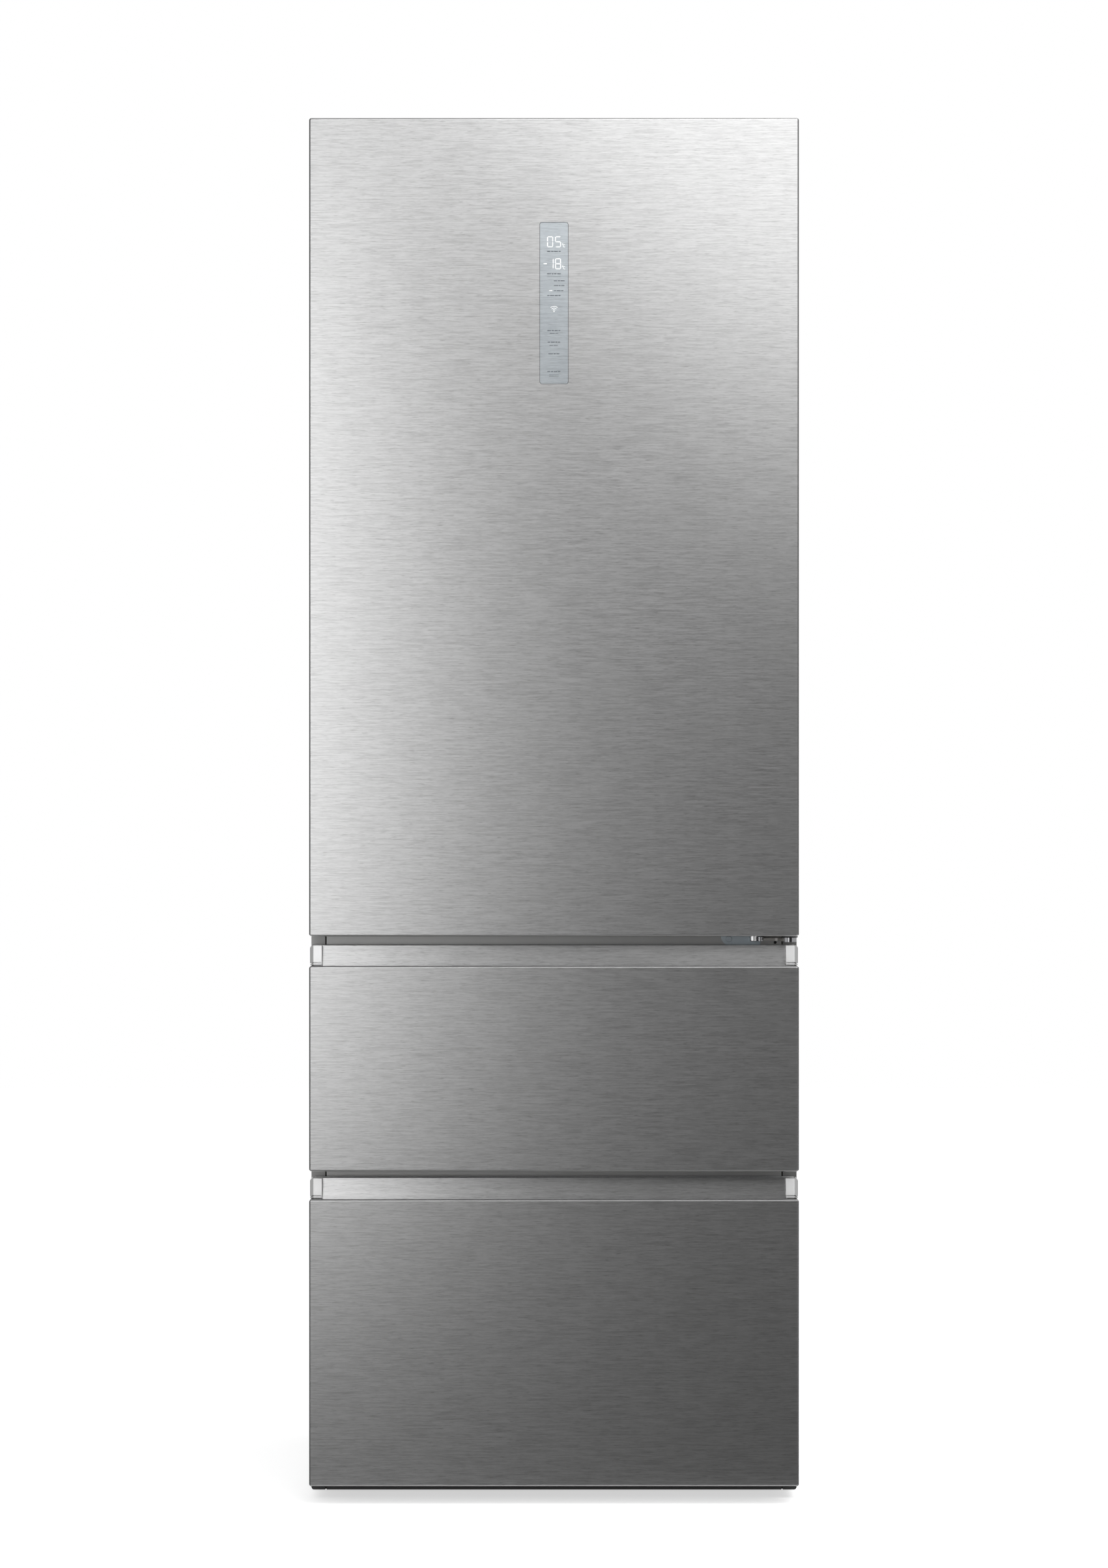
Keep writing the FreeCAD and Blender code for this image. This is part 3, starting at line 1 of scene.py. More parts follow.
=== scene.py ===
import bmesh
import bpy
import numpy as np
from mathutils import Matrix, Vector


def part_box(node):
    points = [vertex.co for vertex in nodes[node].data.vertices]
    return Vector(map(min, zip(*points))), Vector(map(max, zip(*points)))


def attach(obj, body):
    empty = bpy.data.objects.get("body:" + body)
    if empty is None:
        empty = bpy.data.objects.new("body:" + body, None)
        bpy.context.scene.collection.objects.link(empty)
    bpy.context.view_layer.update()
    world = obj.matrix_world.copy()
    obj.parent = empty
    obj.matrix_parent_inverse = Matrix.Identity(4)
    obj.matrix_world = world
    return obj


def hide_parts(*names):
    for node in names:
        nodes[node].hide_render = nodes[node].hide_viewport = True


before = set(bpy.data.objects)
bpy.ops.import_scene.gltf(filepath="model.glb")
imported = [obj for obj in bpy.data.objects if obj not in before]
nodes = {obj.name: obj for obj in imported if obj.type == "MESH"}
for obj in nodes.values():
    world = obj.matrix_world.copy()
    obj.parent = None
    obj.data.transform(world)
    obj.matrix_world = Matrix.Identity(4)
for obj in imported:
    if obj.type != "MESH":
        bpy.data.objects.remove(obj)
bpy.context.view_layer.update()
mm = 0.001
scene = bpy.context.scene
print("frame:", len(nodes), "nodes")


# sRGB hex to a linear colour
def shade(hexCode):
    srgb = np.array([int(hexCode[i:i + 2], 16) for i in (1, 3, 5)]) / 255
    linear = np.where(srgb <= 0.04045, srgb / 12.92, ((srgb + 0.055) / 1.055) ** 2.4)
    return (*linear.tolist(), 1.0)


whiteLight = shade("#FFFFFF")


# adds one node: a socket takes a value or a link, stops fill a ramp, settings are its own options
def addNode(tree, kind, sockets=None, stops=(), **settings):
    node = tree.nodes.new("ShaderNode" + kind)
    for name, value in settings.items():
        setattr(node, name, value)
    for name, value in (sockets or {}).items():
        if isinstance(value, bpy.types.NodeSocket):
            tree.links.new(value, node.inputs[name])
        else:
            node.inputs[name].default_value = value
    for stop, (place, hexCode) in zip(node.color_ramp.elements if stops else (), stops):
        stop.position = place
        stop.color = shade(hexCode)
    return node


# empty material and its tree
def startMaterial(name):
    material = bpy.data.materials.new(name)
    material.use_nodes = True
    material.node_tree.nodes.clear()
    return material, material.node_tree


# noise of a given size in millimetres along x, y and z
def grain(tree, coords, size, detail=3.0, roughness=0.55):
    scale = tuple(1 / (s * mm) for s in size)
    stretched = addNode(tree, "Mapping", {"Vector": coords, "Scale": scale})
    return addNode(tree, "TexNoise", {"Vector": stretched.outputs[0], "Scale": 1.0,
                                      "Detail": detail, "Roughness": roughness}).outputs["Fac"]


# Gives part of a surface a second finish. The distance from a middle is taken in mm along one
# axis, and the second finish comes in between the two distances given.
def pastEdge(tree, coords, sockets, second):
    along = addNode(tree, "SeparateXYZ", {"Vector": coords}).outputs[second["axis"]]
    middle = second.get("middle", 0.0) * mm
    offset = addNode(tree, "Math", {0: along, 1: middle}, operation="SUBTRACT").outputs[0]
    apart = addNode(tree, "Math", {0: offset}, operation="ABSOLUTE").outputs[0]
    start, stop = second["between"]
    past = addNode(tree, "MapRange", {"Value": apart, "From Min": start * mm,
                                      "From Max": stop * mm}).outputs[0]
    for name, other in second["sockets"].items():
        if name == "Base Color":
            mixed = addNode(tree, "Mix", {0: past, 6: sockets[name], 7: shade(other)},
                            data_type="RGBA").outputs[2]
        else:
            mixed = addNode(tree, "Mix", {0: past, 2: sockets[name], 3: other}).outputs[0]
        sockets[name] = mixed


steelLook = {
    "shades": ("#A9A9A9", "#CFCFCF"), "stops": (0.24, 0.58),   # mostly light, with darker streaks
    "hairline": (15.0, 15.0, 0.9),   # length, length and height of one belt scratch in mm
    "streak": (55.0, 55.0, 2.2), "streakShare": 0.4,   # broader streaks of the belt
    "dash": (14.0, 14.0, 0.95), "dashStart": (0.61, 0.75),   # sparse darker scratches
    "dashShade": "#6E6E6E", "dashDepth": 0.38,
    "grainRange": (0.3, 0.7), "roughness": (0.28, 0.32),   # roughness follows the grain
    "anisotropic": 0.34, "smearTurn": 0.25,   # a quarter turn, so that light smears upright
    "bump": 0.02, "depth": 0.05,   # depth of the grain in mm
    "coat": 0.0, "coatRoughness": 0.05,
}


# Brushed sheet: hairlines from the abrasive belt lie level, so light smears upright and the face
# shows short level streaks. Real hairlines are finer than 0.2 mm and are drawn coarser to show.
def brushedSheet(name, look):
    material, tree = startMaterial(name)
    coords = addNode(tree, "TexCoord").outputs["Object"]
    fine = grain(tree, coords, look["hairline"], detail=3.0, roughness=0.65)
    broad = grain(tree, coords, look["streak"], detail=2.0)
    both = addNode(tree, "Mix", {0: look["streakShare"], 2: fine, 3: broad}).outputs[0]
    colour = addNode(tree, "ValToRGB", {"Fac": both}, zip(look["stops"], look["shades"]))
    scratch = addNode(tree, "MapRange", {
        "Value": grain(tree, coords, look["dash"], detail=1.0),
        "From Min": look["dashStart"][0], "From Max": look["dashStart"][1],
        "To Max": look["dashDepth"]})
    sheet = addNode(tree, "Mix", {0: scratch.outputs["Result"], 6: colour.outputs["Color"],
                                  7: shade(look["dashShade"])}, data_type="RGBA").outputs[2]
    satin = addNode(tree, "MapRange", {
        "Value": both, "From Min": look["grainRange"][0], "From Max": look["grainRange"][1],
        "To Min": look["roughness"][0], "To Max": look["roughness"][1]})
    bump = addNode(tree, "Bump", {"Strength": look["bump"], "Distance": look["depth"] * mm,
                                  "Height": fine})
    brushing = addNode(tree, "Tangent", direction_type="RADIAL", axis="Z")
    sockets = {
        "Base Color": sheet, "Metallic": 1.0, "Roughness": satin.outputs["Result"],
        "Anisotropic": look["anisotropic"], "Anisotropic Rotation": look["smearTurn"],
        "Tangent": brushing.outputs["Tangent"], "Normal": bump.outputs["Normal"],
        "Coat Weight": look["coat"], "Coat Roughness": look["coatRoughness"]}
    for second in look.get("seconds", ()):
        pastEdge(tree, coords, sockets, second)
    shader = addNode(tree, "BsdfPrincipled", sockets)
    addNode(tree, "OutputMaterial", {"Surface": shader.outputs["BSDF"]})
    return material


# what a coated surface has where its own look says nothing else: peel, cloud and depth in mm
coatLook = {"peel": 0.9, "peelRange": (0.25, 0.75), "cloud": 60.0, "stops": (0.3, 0.7),
            "depth": 0.1, "set": {}, "seconds": ()}


# Painted sheet, plated metal and moulded plastic: fine orange peel or mould texture and a faint
# cloud of shade. The look gives two shades, roughness limits, bump strength and set sockets.
def coatedSurface(name, look):
    look = {**coatLook, **look}
    material, tree = startMaterial(name)
    coords = addNode(tree, "TexCoord").outputs["Object"]
    peel = grain(tree, coords, (look["peel"],) * 3, detail=2.0)
    cloud = grain(tree, coords, (look["cloud"],) * 3, detail=3.0)
    colour = addNode(tree, "ValToRGB", {"Fac": cloud}, zip(look["stops"], look["shades"]))
    satin = addNode(tree, "MapRange", {
        "Value": peel, "From Min": look["peelRange"][0], "From Max": look["peelRange"][1],
        "To Min": look["roughness"][0], "To Max": look["roughness"][1]})
    bump = addNode(tree, "Bump", {"Strength": look["bump"], "Distance": look["depth"] * mm,
                                  "Height": peel})
    sockets = {"Base Color": colour.outputs["Color"], "Roughness": satin.outputs["Result"],
               "Normal": bump.outputs["Normal"], **look["set"]}
    for second in look["seconds"]:
        pastEdge(tree, coords, sockets, second)
    shader = addNode(tree, "BsdfPrincipled", sockets)
    addNode(tree, "OutputMaterial", {"Surface": shader.outputs["BSDF"]})
    return material


zincLook = {
    "shades": ("#8C8F92", "#A9ACAE"), "roughness": (0.42, 0.6),
    "crystal": 9.0, "rolling": 0.8, "bump": 0.05, "depth": 0.1,   # sizes and depth in mm
}


# Hot-dip galvanised sheet: zinc crystals of several millimetres, each a little lighter or darker
# and duller or shinier than the next.
def galvanisedSheet(name, look):
    material, tree = startMaterial(name)
    coords = addNode(tree, "TexCoord").outputs["Object"]
    cells = addNode(tree, "TexVoronoi", {"Vector": coords, "Scale": 1 / (look["crystal"] * mm),
                                         "Randomness": 1.0})
    one = addNode(tree, "SeparateColor", {"Color": cells.outputs["Color"]}).outputs["Red"]
    colour = addNode(tree, "ValToRGB", {"Fac": one}, zip((0.0, 1.0), look["shades"]))
    satin = addNode(tree, "MapRange", {"Value": one, "To Min": look["roughness"][0],
                                       "To Max": look["roughness"][1]})
    rolling = grain(tree, coords, (look["rolling"],) * 3, detail=2.0)
    bump = addNode(tree, "Bump", {"Strength": look["bump"], "Distance": look["depth"] * mm,
                                  "Height": rolling})
    shader = addNode(tree, "BsdfPrincipled", {
        "Base Color": colour.outputs["Color"], "Metallic": 1.0,
        "Roughness": satin.outputs["Result"], "Normal": bump.outputs["Normal"]})
    addNode(tree, "OutputMaterial", {"Surface": shader.outputs["BSDF"]})
    return material


# folds of the steel fronts, in mm: the sides are lacquered dark grey; the tops of the drawers
# are painted darker, a painted shade that dims the highlight on their rounded edge; and a band
# a little above each lower edge is painted pale, a painted highlight where the fold's crest
# catches light
fronts = ["door_panel", "upper_drawer_panel", "lower_drawer_panel"]
foldLook = {
    "side": {"axis": "X", "between": (347.7, 348.2),
             "sockets": {"Base Color": "#3B3B3B", "Metallic": 0.0, "Roughness": 0.4}},
    # painted shade: the drawer tops are darkened to dim the highlight their rounded edge catches
    "top": {"axis": "Z", "between": (1.9, 1.2),
            "sockets": {"Base Color": "#868686", "Roughness": 0.45}},
    # painted highlight: a pale band just above each lower edge, where the fold's crest catches
    # light
    "foot": {"axis": "Z", "between": (0.6, 0.4),
             "sockets": {"Base Color": "#AAAAAA", "Metallic": 0.45, "Roughness": 0.4}},
    "paintedHighlightRise": 1.3,
}
folds = [foldLook["side"]]
folds += [dict(foldLook["top"], middle=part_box(name)[1][2] / mm) for name in fronts[1:]]
folds += [dict(foldLook["foot"], middle=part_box(name)[0][2] / mm + foldLook["paintedHighlightRise"])
          for name in fronts]

# second finishes: the screw in the hinge leaf, the hinge's arm, the bevel of the grip caps, painted
# darker as a painted shade for a face turned away from the light, the cabinet's foot, painted dark
# as a painted shade under the overhanging drawer fronts, and its front flange, which is duller than
# the sides
hingeScrew = {"axis": "X", "between": (268.0, 266.0),
              "sockets": {"Base Color": "#C6D0D7", "Metallic": 0.5, "Roughness": 0.4}}
hingeArm = {"axis": "X", "between": (297.8, 298.4),
            "sockets": {"Base Color": "#A09D9A", "Metallic": 0.6, "Roughness": 0.4}}
# painted shade: the cap's bevel, turned away from the light, is painted darker grey
capBevelShade = {"axis": "X", "between": (344.4, 344.9),
            "sockets": {"Base Color": "#9A9A9A", "Metallic": 0.45, "Roughness": 0.32}}
# painted shade: below 26 mm the cabinet is painted dark grey for the shade under the overhanging
# drawer front
paintedFootShade = {"axis": "Z", "between": (26.5, 25.5),
            "sockets": {"Base Color": "#4A4A4A", "Metallic": 0.6, "Roughness": 0.42}}
frontFlange = {"axis": "Y", "middle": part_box("outer_cabinet")[0][1] / mm, "between": (0.9, 0.5),
               "sockets": {"Base Color": "#969695", "Metallic": 0.75}}

metal = {"Metallic": 1.0}
lacquerLook = {"shades": ("#B7B7B6", "#BABAB9"), "roughness": (0.36, 0.42), "bump": 0.06,
               "set": {"Metallic": 0.75}}
# each finish: how it was made, its look and the nodes that have it
finishes = {
    # stainless sheet, brushed level: pale neutral grey with soft long reflections
    "brushedStainlessSteel": (brushedSheet, dict(steelLook, seconds=folds), fronts),
    # the strips in the grips, brushed the same way and a shade lighter
    "brushedGripAluminium": (
        brushedSheet, dict(steelLook, shades=("#ACACAC", "#D1D1D1"), anisotropic=0.65),
        ["upper_grip_strip", "lower_grip_strip"]),
    # bluish clear acrylic over the brushed sheet: the grain shows through under a gloss coat
    "tintedDisplayAcrylic": (
        brushedSheet, dict(steelLook, shades=("#A7AEB4", "#C7CDD1"), coat=0.3),
        ["display_window"]),
    # silver lacquer on moulded ABS: bright, a little soft, part metal flake and part pale body;
    # the bevel is painted grey, a painted shade for a face turned away from the light
    "silverLacqueredAbs": (
        coatedSurface, {"shades": ("#F7F7F7", "#FBFBFB"), "roughness": (0.28, 0.32),
                        "bump": 0.005, "set": {"Metallic": 0.25, "IOR": 1.53},
                        "seconds": [capBevelShade]},
        ["upper_grip_caps", "lower_grip_caps"]),
    # silver-grey lacquer with little flake on the wrap: mid grey, satin, fine orange peel; painted
    # dark grey along the foot, a painted shade under the overhanging drawer front
    "silverGreyLacqueredWrap": (
        coatedSurface, dict(lacquerLook, shades=("#A2A3A4", "#A6A7A8"), set={"Metallic": 0.3},
                            seconds=[frontFlange, paintedFootShade]),
        ["outer_cabinet"]),
    # the same lacquer with more flake: lighter, and it mirrors more of the room
    "silverGreyLacqueredSteel": (
        # painted shade: the foot of these parts, and with it all of the base pan, is painted dark
        # grey for the shade under the drawer front
        coatedSurface, dict(lacquerLook, seconds=[paintedFootShade]),
        ["mullion_cover", "freezer_crossbar", "base_pan"]),
    # hot-dip galvanised sheet: grey, dull, with a patchwork of crystals
    "galvanisedSteel": (galvanisedSheet, zincLook, ["rear_panel", "machine_cover", "machine_base"]),
    # rigid foam: cream, matt, open cells of about a millimetre
    "polyurethaneFoam": (
        coatedSurface, {"shades": ("#D8C48A", "#E6D6A4"), "roughness": (0.8, 0.95),
                        "bump": 0.4, "peel": 1.4},
        ["insulation_foam"]),
    # vacuum formed polystyrene: white and softly glossy
    "whitePolystyrene": (
        coatedSurface, {"shades": ("#E6E8E9", "#EEEFEF"), "roughness": (0.26, 0.34),
                        "bump": 0.05, "peel": 2.2, "set": {"IOR": 1.59}},
        ["fridge_liner", "freezer_liner", "air_duct_cover", "evaporator_cover", "door_liner",
         "upper_drawer_core", "lower_drawer_core"]),
    # moulded polypropylene of the freezer fan: white and duller
    "whitePolypropylene": (
        coatedSurface, {"shades": ("#DDDFE0", "#E5E6E6"), "roughness": (0.42, 0.52),
                        "bump": 0.1, "set": {"IOR": 1.49}},
        ["evaporator_fan", "evaporator_fan_frame"]),
    # spark-eroded mould texture on ABS: dark grey and matt
    "darkGreyAbs": (
        coatedSurface, {"shades": ("#4A4B4D", "#525355"), "roughness": (0.5, 0.62),
                        "bump": 0.2, "peel": 0.7, "set": {"IOR": 1.53}},
        ["door_end_caps", "top_hinge_cover", "control_box"]),
    # silver-painted ABS: metallic lacquer, satin
    "silverPaintedAbs": (
        coatedSurface, {"shades": ("#B9BBBD", "#C3C5C6"), "roughness": (0.3, 0.38),
                        "bump": 0.03, "set": {"Metallic": 0.6}},
        ["shelf_trims"]),
    # opal polycarbonate: milky, lets some light through, and lit from behind
    "opalPolycarbonate": (
        coatedSurface, {"shades": ("#F0F0EC", "#F6F6F2"), "roughness": (0.4, 0.5), "bump": 0.03,
                        "set": {"IOR": 1.58, "Transmission Weight": 0.3,
                                "Emission Color": whiteLight, "Emission Strength": 1.0}},
        ["interior_lights"]),
    # blue passivated zinc on the hinge plates: bluish grey, satin
    "bluePassivatedSteel": (
        coatedSurface, {"shades": ("#C4CFD6", "#CED8DE"), "roughness": (0.36, 0.46),
                        "bump": 0.05, "cloud": 25.0, "set": {"Metallic": 0.5},
                        "seconds": [hingeArm]},
        ["top_hinge", "middle_hinge"]),
    # chromium plate on turned steel: mirror bright; the screw in the hinge leaf is blue
    # passivated as the leaf is
    "chromePlatedSteel": (
        coatedSurface, {"shades": ("#D8D8D8", "#E0E0E0"), "roughness": (0.08, 0.14),
                        "bump": 0.02, "set": metal, "seconds": [hingeScrew]},
        ["hinge_hardware", "roller_axles"]),
    # black chromium plate: dark with sharp bright glints
    "blackChromePlatedSteel": (
        coatedSurface, {"shades": ("#8A8A8C", "#949496"), "roughness": (0.1, 0.16),
                        "bump": 0.02, "set": metal},
        ["hinge_knuckle"]),
    # rolled and zinc-plated rail sections: pale grey, satin
    "zincPlatedRailSteel": (
        coatedSurface, {"shades": ("#A9ACAF", "#B9BCBE"), "roughness": (0.3, 0.4),
                        "bump": 0.04, "cloud": 30.0, "set": metal},
        ["outer_rails", "upper_inner_rails", "lower_inner_rails", "upper_middle_rails",
         "lower_middle_rails"]),
    # moulded nylon: black, matt
    "blackNylon": (
        coatedSurface, {"shades": ("#1B1B1C", "#222223"), "roughness": (0.5, 0.62),
                        "bump": 0.15, "peel": 0.6, "set": {"IOR": 1.53}},
        ["hinge_bushes", "front_foot_left", "front_foot_right", "rear_rollers",
         "condenser_fan", "condenser_fan_frame", "drip_tray"]),
    # stove enamel on the compressor pot: black gloss with orange peel
    "blackStoveEnamel": (
        coatedSurface, {"shades": ("#151516", "#1C1C1D"), "roughness": (0.22, 0.32),
                        "bump": 0.12, "peel": 2.0},
        ["compressor"]),
    # rolled fin stock: bright aluminium, satin
    "finStockAluminium": (
        coatedSurface, {"shades": ("#B8BABC", "#C8CACC"), "roughness": (0.32, 0.42),
                        "bump": 0.05, "cloud": 12.0, "set": metal},
        ["condenser", "evaporator"]),
    # drawn copper tube with the brown bloom of handling
    "drawnCopper": (
        coatedSurface, {"shades": ("#A9623F", "#CB8963"), "roughness": (0.22, 0.36),
                        "bump": 0.04, "cloud": 18.0, "set": metal},
        ["refrigerant_pipes"]),
    # injection moulded clear polystyrene: water clear with a faint blue cast
    "clearPolystyrene": (
        coatedSurface, {"shades": ("#F5F9FA", "#F8FBFB"), "roughness": (0.05, 0.1),
                        "bump": 0.02, "peel": 8.0,
                        "set": {"IOR": 1.59, "Transmission Weight": 0.92}},
        ["door_bins", "crisper_drawer", "chiller_drawer"]),
    # frosted polypropylene of the freezer baskets: hazy white, half clear
    "frostedPolypropylene": (
        coatedSurface, {"shades": ("#EDF1F3", "#F1F4F6"), "roughness": (0.35, 0.45),
                        "bump": 0.05, "set": {"IOR": 1.49, "Transmission Weight": 0.5}},
        ["upper_basket", "lower_basket"]),
    # toughened float glass: clear with a faint green
    "toughenedGlass": (
        coatedSurface, {"shades": ("#EAF5F1", "#EDF6F3"), "roughness": (0.02, 0.04),
                        "bump": 0.0, "set": {"IOR": 1.52, "Transmission Weight": 1.0}},
        ["glass_shelves"]),
}
dressed = set()
for name, (make, look, wearers) in finishes.items():
    material = make(name, look)
    for wearer in wearers:
        nodes[wearer].data.materials.clear()
        nodes[wearer].data.materials.append(material)
    dressed.update(wearers)
print("finishes:", len(finishes), "on", len(dressed), "nodes; bare:", sorted(set(nodes) - dressed))


# quads of a grid of rows by columns, closed round either way where asked
def gridFaces(rows, columns, closeRows=False, closeColumns=False):
    i, j = np.meshgrid(np.arange(rows - (not closeRows)),
                       np.arange(columns - (not closeColumns)), indexing="ij")
    down, across = (i + 1) % rows, (j + 1) % columns
    return np.stack([i * columns + j, i * columns + across,
                     down * columns + across, down * columns + j], -1).reshape(-1, 4)


seamWidth = 1e-6   # metres; points nearer than this are one point


# puts shells of points in mm and quads into one mesh, closes seams, turns faces out and rides
# it on a body
def addPiece(name, shells, material, body):
    pointSets, faceSets = zip(*shells)
    starts = np.cumsum([0] + [len(points) for points in pointSets])
    points = np.concatenate(pointSets) * mm
    faces = np.concatenate([faces + start for faces, start in zip(faceSets, starts)])
    mesh = bpy.data.meshes.new(name)
    mesh.from_pydata(points.tolist(), [], faces.tolist())
    form = bmesh.new()
    form.from_mesh(mesh)
    bmesh.ops.remove_doubles(form, verts=form.verts, dist=seamWidth)
    bmesh.ops.recalc_face_normals(form, faces=form.faces)
    form.to_mesh(mesh)
    form.free()
    mesh.materials.append(material)
    mesh.shade_smooth()
    piece = bpy.data.objects.new(name, mesh)
    scene.collection.objects.link(piece)
    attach(piece, body)
    return piece


# Closed frame: a closed profile of (outward, depth) points carried round a rounded rectangle. A
# point is its corner's centre plus (corner radius plus outward) times the turn's cosine and sine;
# depth is along y.
def roundedFrame(profile, low, high, radius, steps):
    angle = (np.arange(4)[:, None] * np.pi / 2 + np.linspace(0, np.pi / 2, steps)).ravel()
    left, right = low[0] + radius, high[0] - radius
    bottom, top = low[1] + radius, high[1] - radius
    centre = np.repeat([[right, top], [left, top], [left, bottom], [right, bottom]], steps, axis=0)
    outward, depth = np.array(profile, float).T
    x = centre[:, 0, None] + np.cos(angle)[:, None] * (radius + outward)
    z = centre[:, 1, None] + np.sin(angle)[:, None] * (radius + outward)
    y = np.broadcast_to(depth, x.shape)
    return np.stack([x, y, z], -1).reshape(-1, 3), gridFaces(*x.shape, True, True)


sealLook = {
    "shades": ("#8B8D8F", "#949698"), "roughness": (0.55, 0.65), "bump": 0.05,
    "set": {"IOR": 1.54},
    "round": 16.0, "turnSteps": 9, "smoothing": 2, "cut": 0.25,
    # inset from the outer edge and height over the liner, in mm: foot, bellows, magnet pocket
    "profile": [(2, 0), (10, 0), (10, 1.6), (8.4, 2.2), (8, 3.2), (10.8, 4.4), (8.4, 5.6),
                (12, 6.2), (12, 9.6), (0, 9.6), (0, 6.2), (3.6, 5.6), (1.2, 4.4), (4, 3.2),
                (3.6, 2.2), (2, 1.6)],
    # the solid that each seal stands for, and the body that it rides on
    "places": {"doorSeal": ("door_gasket", "door"),
               "upperDrawerSeal": ("upper_drawer_gasket", "upper_drawer"),
               "lowerDrawerSeal": ("lower_drawer_gasket", "lower_drawer")},
}


# Bellows seal: its profile, with each corner cut at a share of its sides in every pass, carried
# round the front
def bellowsSeal(look, low, high):
    profile, cut = np.array(look["profile"], float), look["cut"]
    for _ in range(look["smoothing"]):
        ahead = np.roll(profile, -1, axis=0)
        profile = np.stack([(1 - cut) * profile + cut * ahead,
                            cut * profile + (1 - cut) * ahead], 1).reshape(-1, 2)
    profile = profile * (-1, 1) + (0, low[1])
    return roundedFrame(profile, low[[0, 2]], high[[0, 2]], look["round"], look["turnSteps"])


# plasticised PVC extrusion: mid grey, soft and dull
softPvc = coatedSurface("greySoftPvc", sealLook)
for name, (gasket, body) in sealLook["places"].items():
    low, high = (np.array(corner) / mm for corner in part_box(gasket))
    seal = addPiece(name, [bellowsSeal(sealLook, low, high)], softPvc, body)
    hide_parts(gasket)
print("seals:", len(sealLook["places"]))


printLook = {
    "face": -337.42, "back": -337.28,   # between the door's front and the window's face, mm
    "arcSteps": 15, "dashGap": 0.9,
    "white": {"shades": ("#F3F5F6", "#FAFBFB"), "roughness": (0.4, 0.5), "bump": 0.02,
              "set": {"Emission Color": whiteLight, "Emission Strength": 0.25}},
    "dark": {"shades": ("#686F74", "#737A7F"), "roughness": (0.45, 0.55), "bump": 0.02},
}


# Printed stroke: a flat strip of given widths carried along a path in x and z. Each path point
# gives four corners, half the width to either side at the print's face and back; ends are closed.
def stroke(path, width, look=printLook):
    path = np.array(path, float)
    ahead = np.gradient(path, axis=0)
    ahead /= np.linalg.norm(ahead, axis=1, keepdims=True)
    half = np.broadcast_to(width, len(path)) / 2
    side = np.stack([-ahead[:, 1], ahead[:, 0]], 1) * half[:, None]
    edge = np.stack([path + side, path - side, path - side, path + side], 1)
    depth = np.broadcast_to([look["face"]] * 2 + [look["back"]] * 2, edge.shape[:2])
    points = np.stack([edge[..., 0], depth, edge[..., 1]], -1).reshape(-1, 3)
    last = 4 * (len(path) - 1)
    ends = np.array([[0, 1, 2, 3], [last + 3, last + 2, last + 1, last]])
    return points, np.concatenate([gridFaces(len(path), 4, False, True), ends])


numeralLook = {
    "size": (7.4, 14.4), "stroke": 1.3,   # mm
    "along": (0.04, 0.13, 0.87, 0.96), "widths": (0.1, 1.0, 1.0, 0.1),   # shares along a bar
    "bars": {"top": (4, 5), "middle": (2, 3), "bottom": (0, 1), "upperLeft": (2, 4),
             "upperRight": (3, 5), "lowerLeft": (0, 2), "lowerRight": (1, 3)},
    "lit": {"0": "top bottom upperLeft upperRight lowerLeft lowerRight",
            "1": "upperRight lowerRight",
            "5": "top middle bottom upperLeft lowerRight",
            "8": "top middle bottom upperLeft upperRight lowerLeft lowerRight"},
}


# One seven-part numeral: each bar runs between two of six corners and narrows at its ends
def numeral(digit, left, low, look=numeralLook):
    wide, high = look["size"]
    corner = np.array([[0, 0], [wide, 0], [0, high / 2], [wide, high / 2], [0, high], [wide, high]])
    share = np.array(look["along"])[:, None]
    width = look["stroke"] * np.array(look["widths"])
    ends = [corner[list(look["bars"][bar])] for bar in look["lit"][digit].split()]
    return [stroke((left, low) + (1 - share) * start + share * stop, width) for start, stop in ends]


# arc of a circle as a path: centre plus radius times cosine and sine of the turn, in degrees
def arc(centre, radius, turn, look=printLook):
    angle = np.radians(np.linspace(*turn, look["arcSteps"]))
    return np.array(centre) + radius * np.stack([np.cos(angle), np.sin(angle)], 1)


# the degree ring and the open ring of the letter beside it, in mm and degrees
degreeLook = [
    {"centre": (0.6, 5.4), "radius": 0.8, "turn": (0, 350), "stroke": 0.5},
    {"centre": (2.9, 3.0), "radius": 1.7, "turn": (50, 310), "stroke": 0.62},
]


# degree mark: the two arcs, set off from its lower left corner
def degreeMark(left, low, look=degreeLook):
    return [stroke(arc(np.add((left, low), ring["centre"]), ring["radius"], ring["turn"]),
                   ring["stroke"]) for ring in look]


# row of printed dashes: each starts a gap after the one before ends
def dashes(left, level, lengths, height, look=printLook):
    start = left + np.cumsum([0] + [length + look["dashGap"] for length in lengths[:-1]])
    return [stroke([(s, level), (s + length, level)], height) for s, length in zip(start, lengths)]


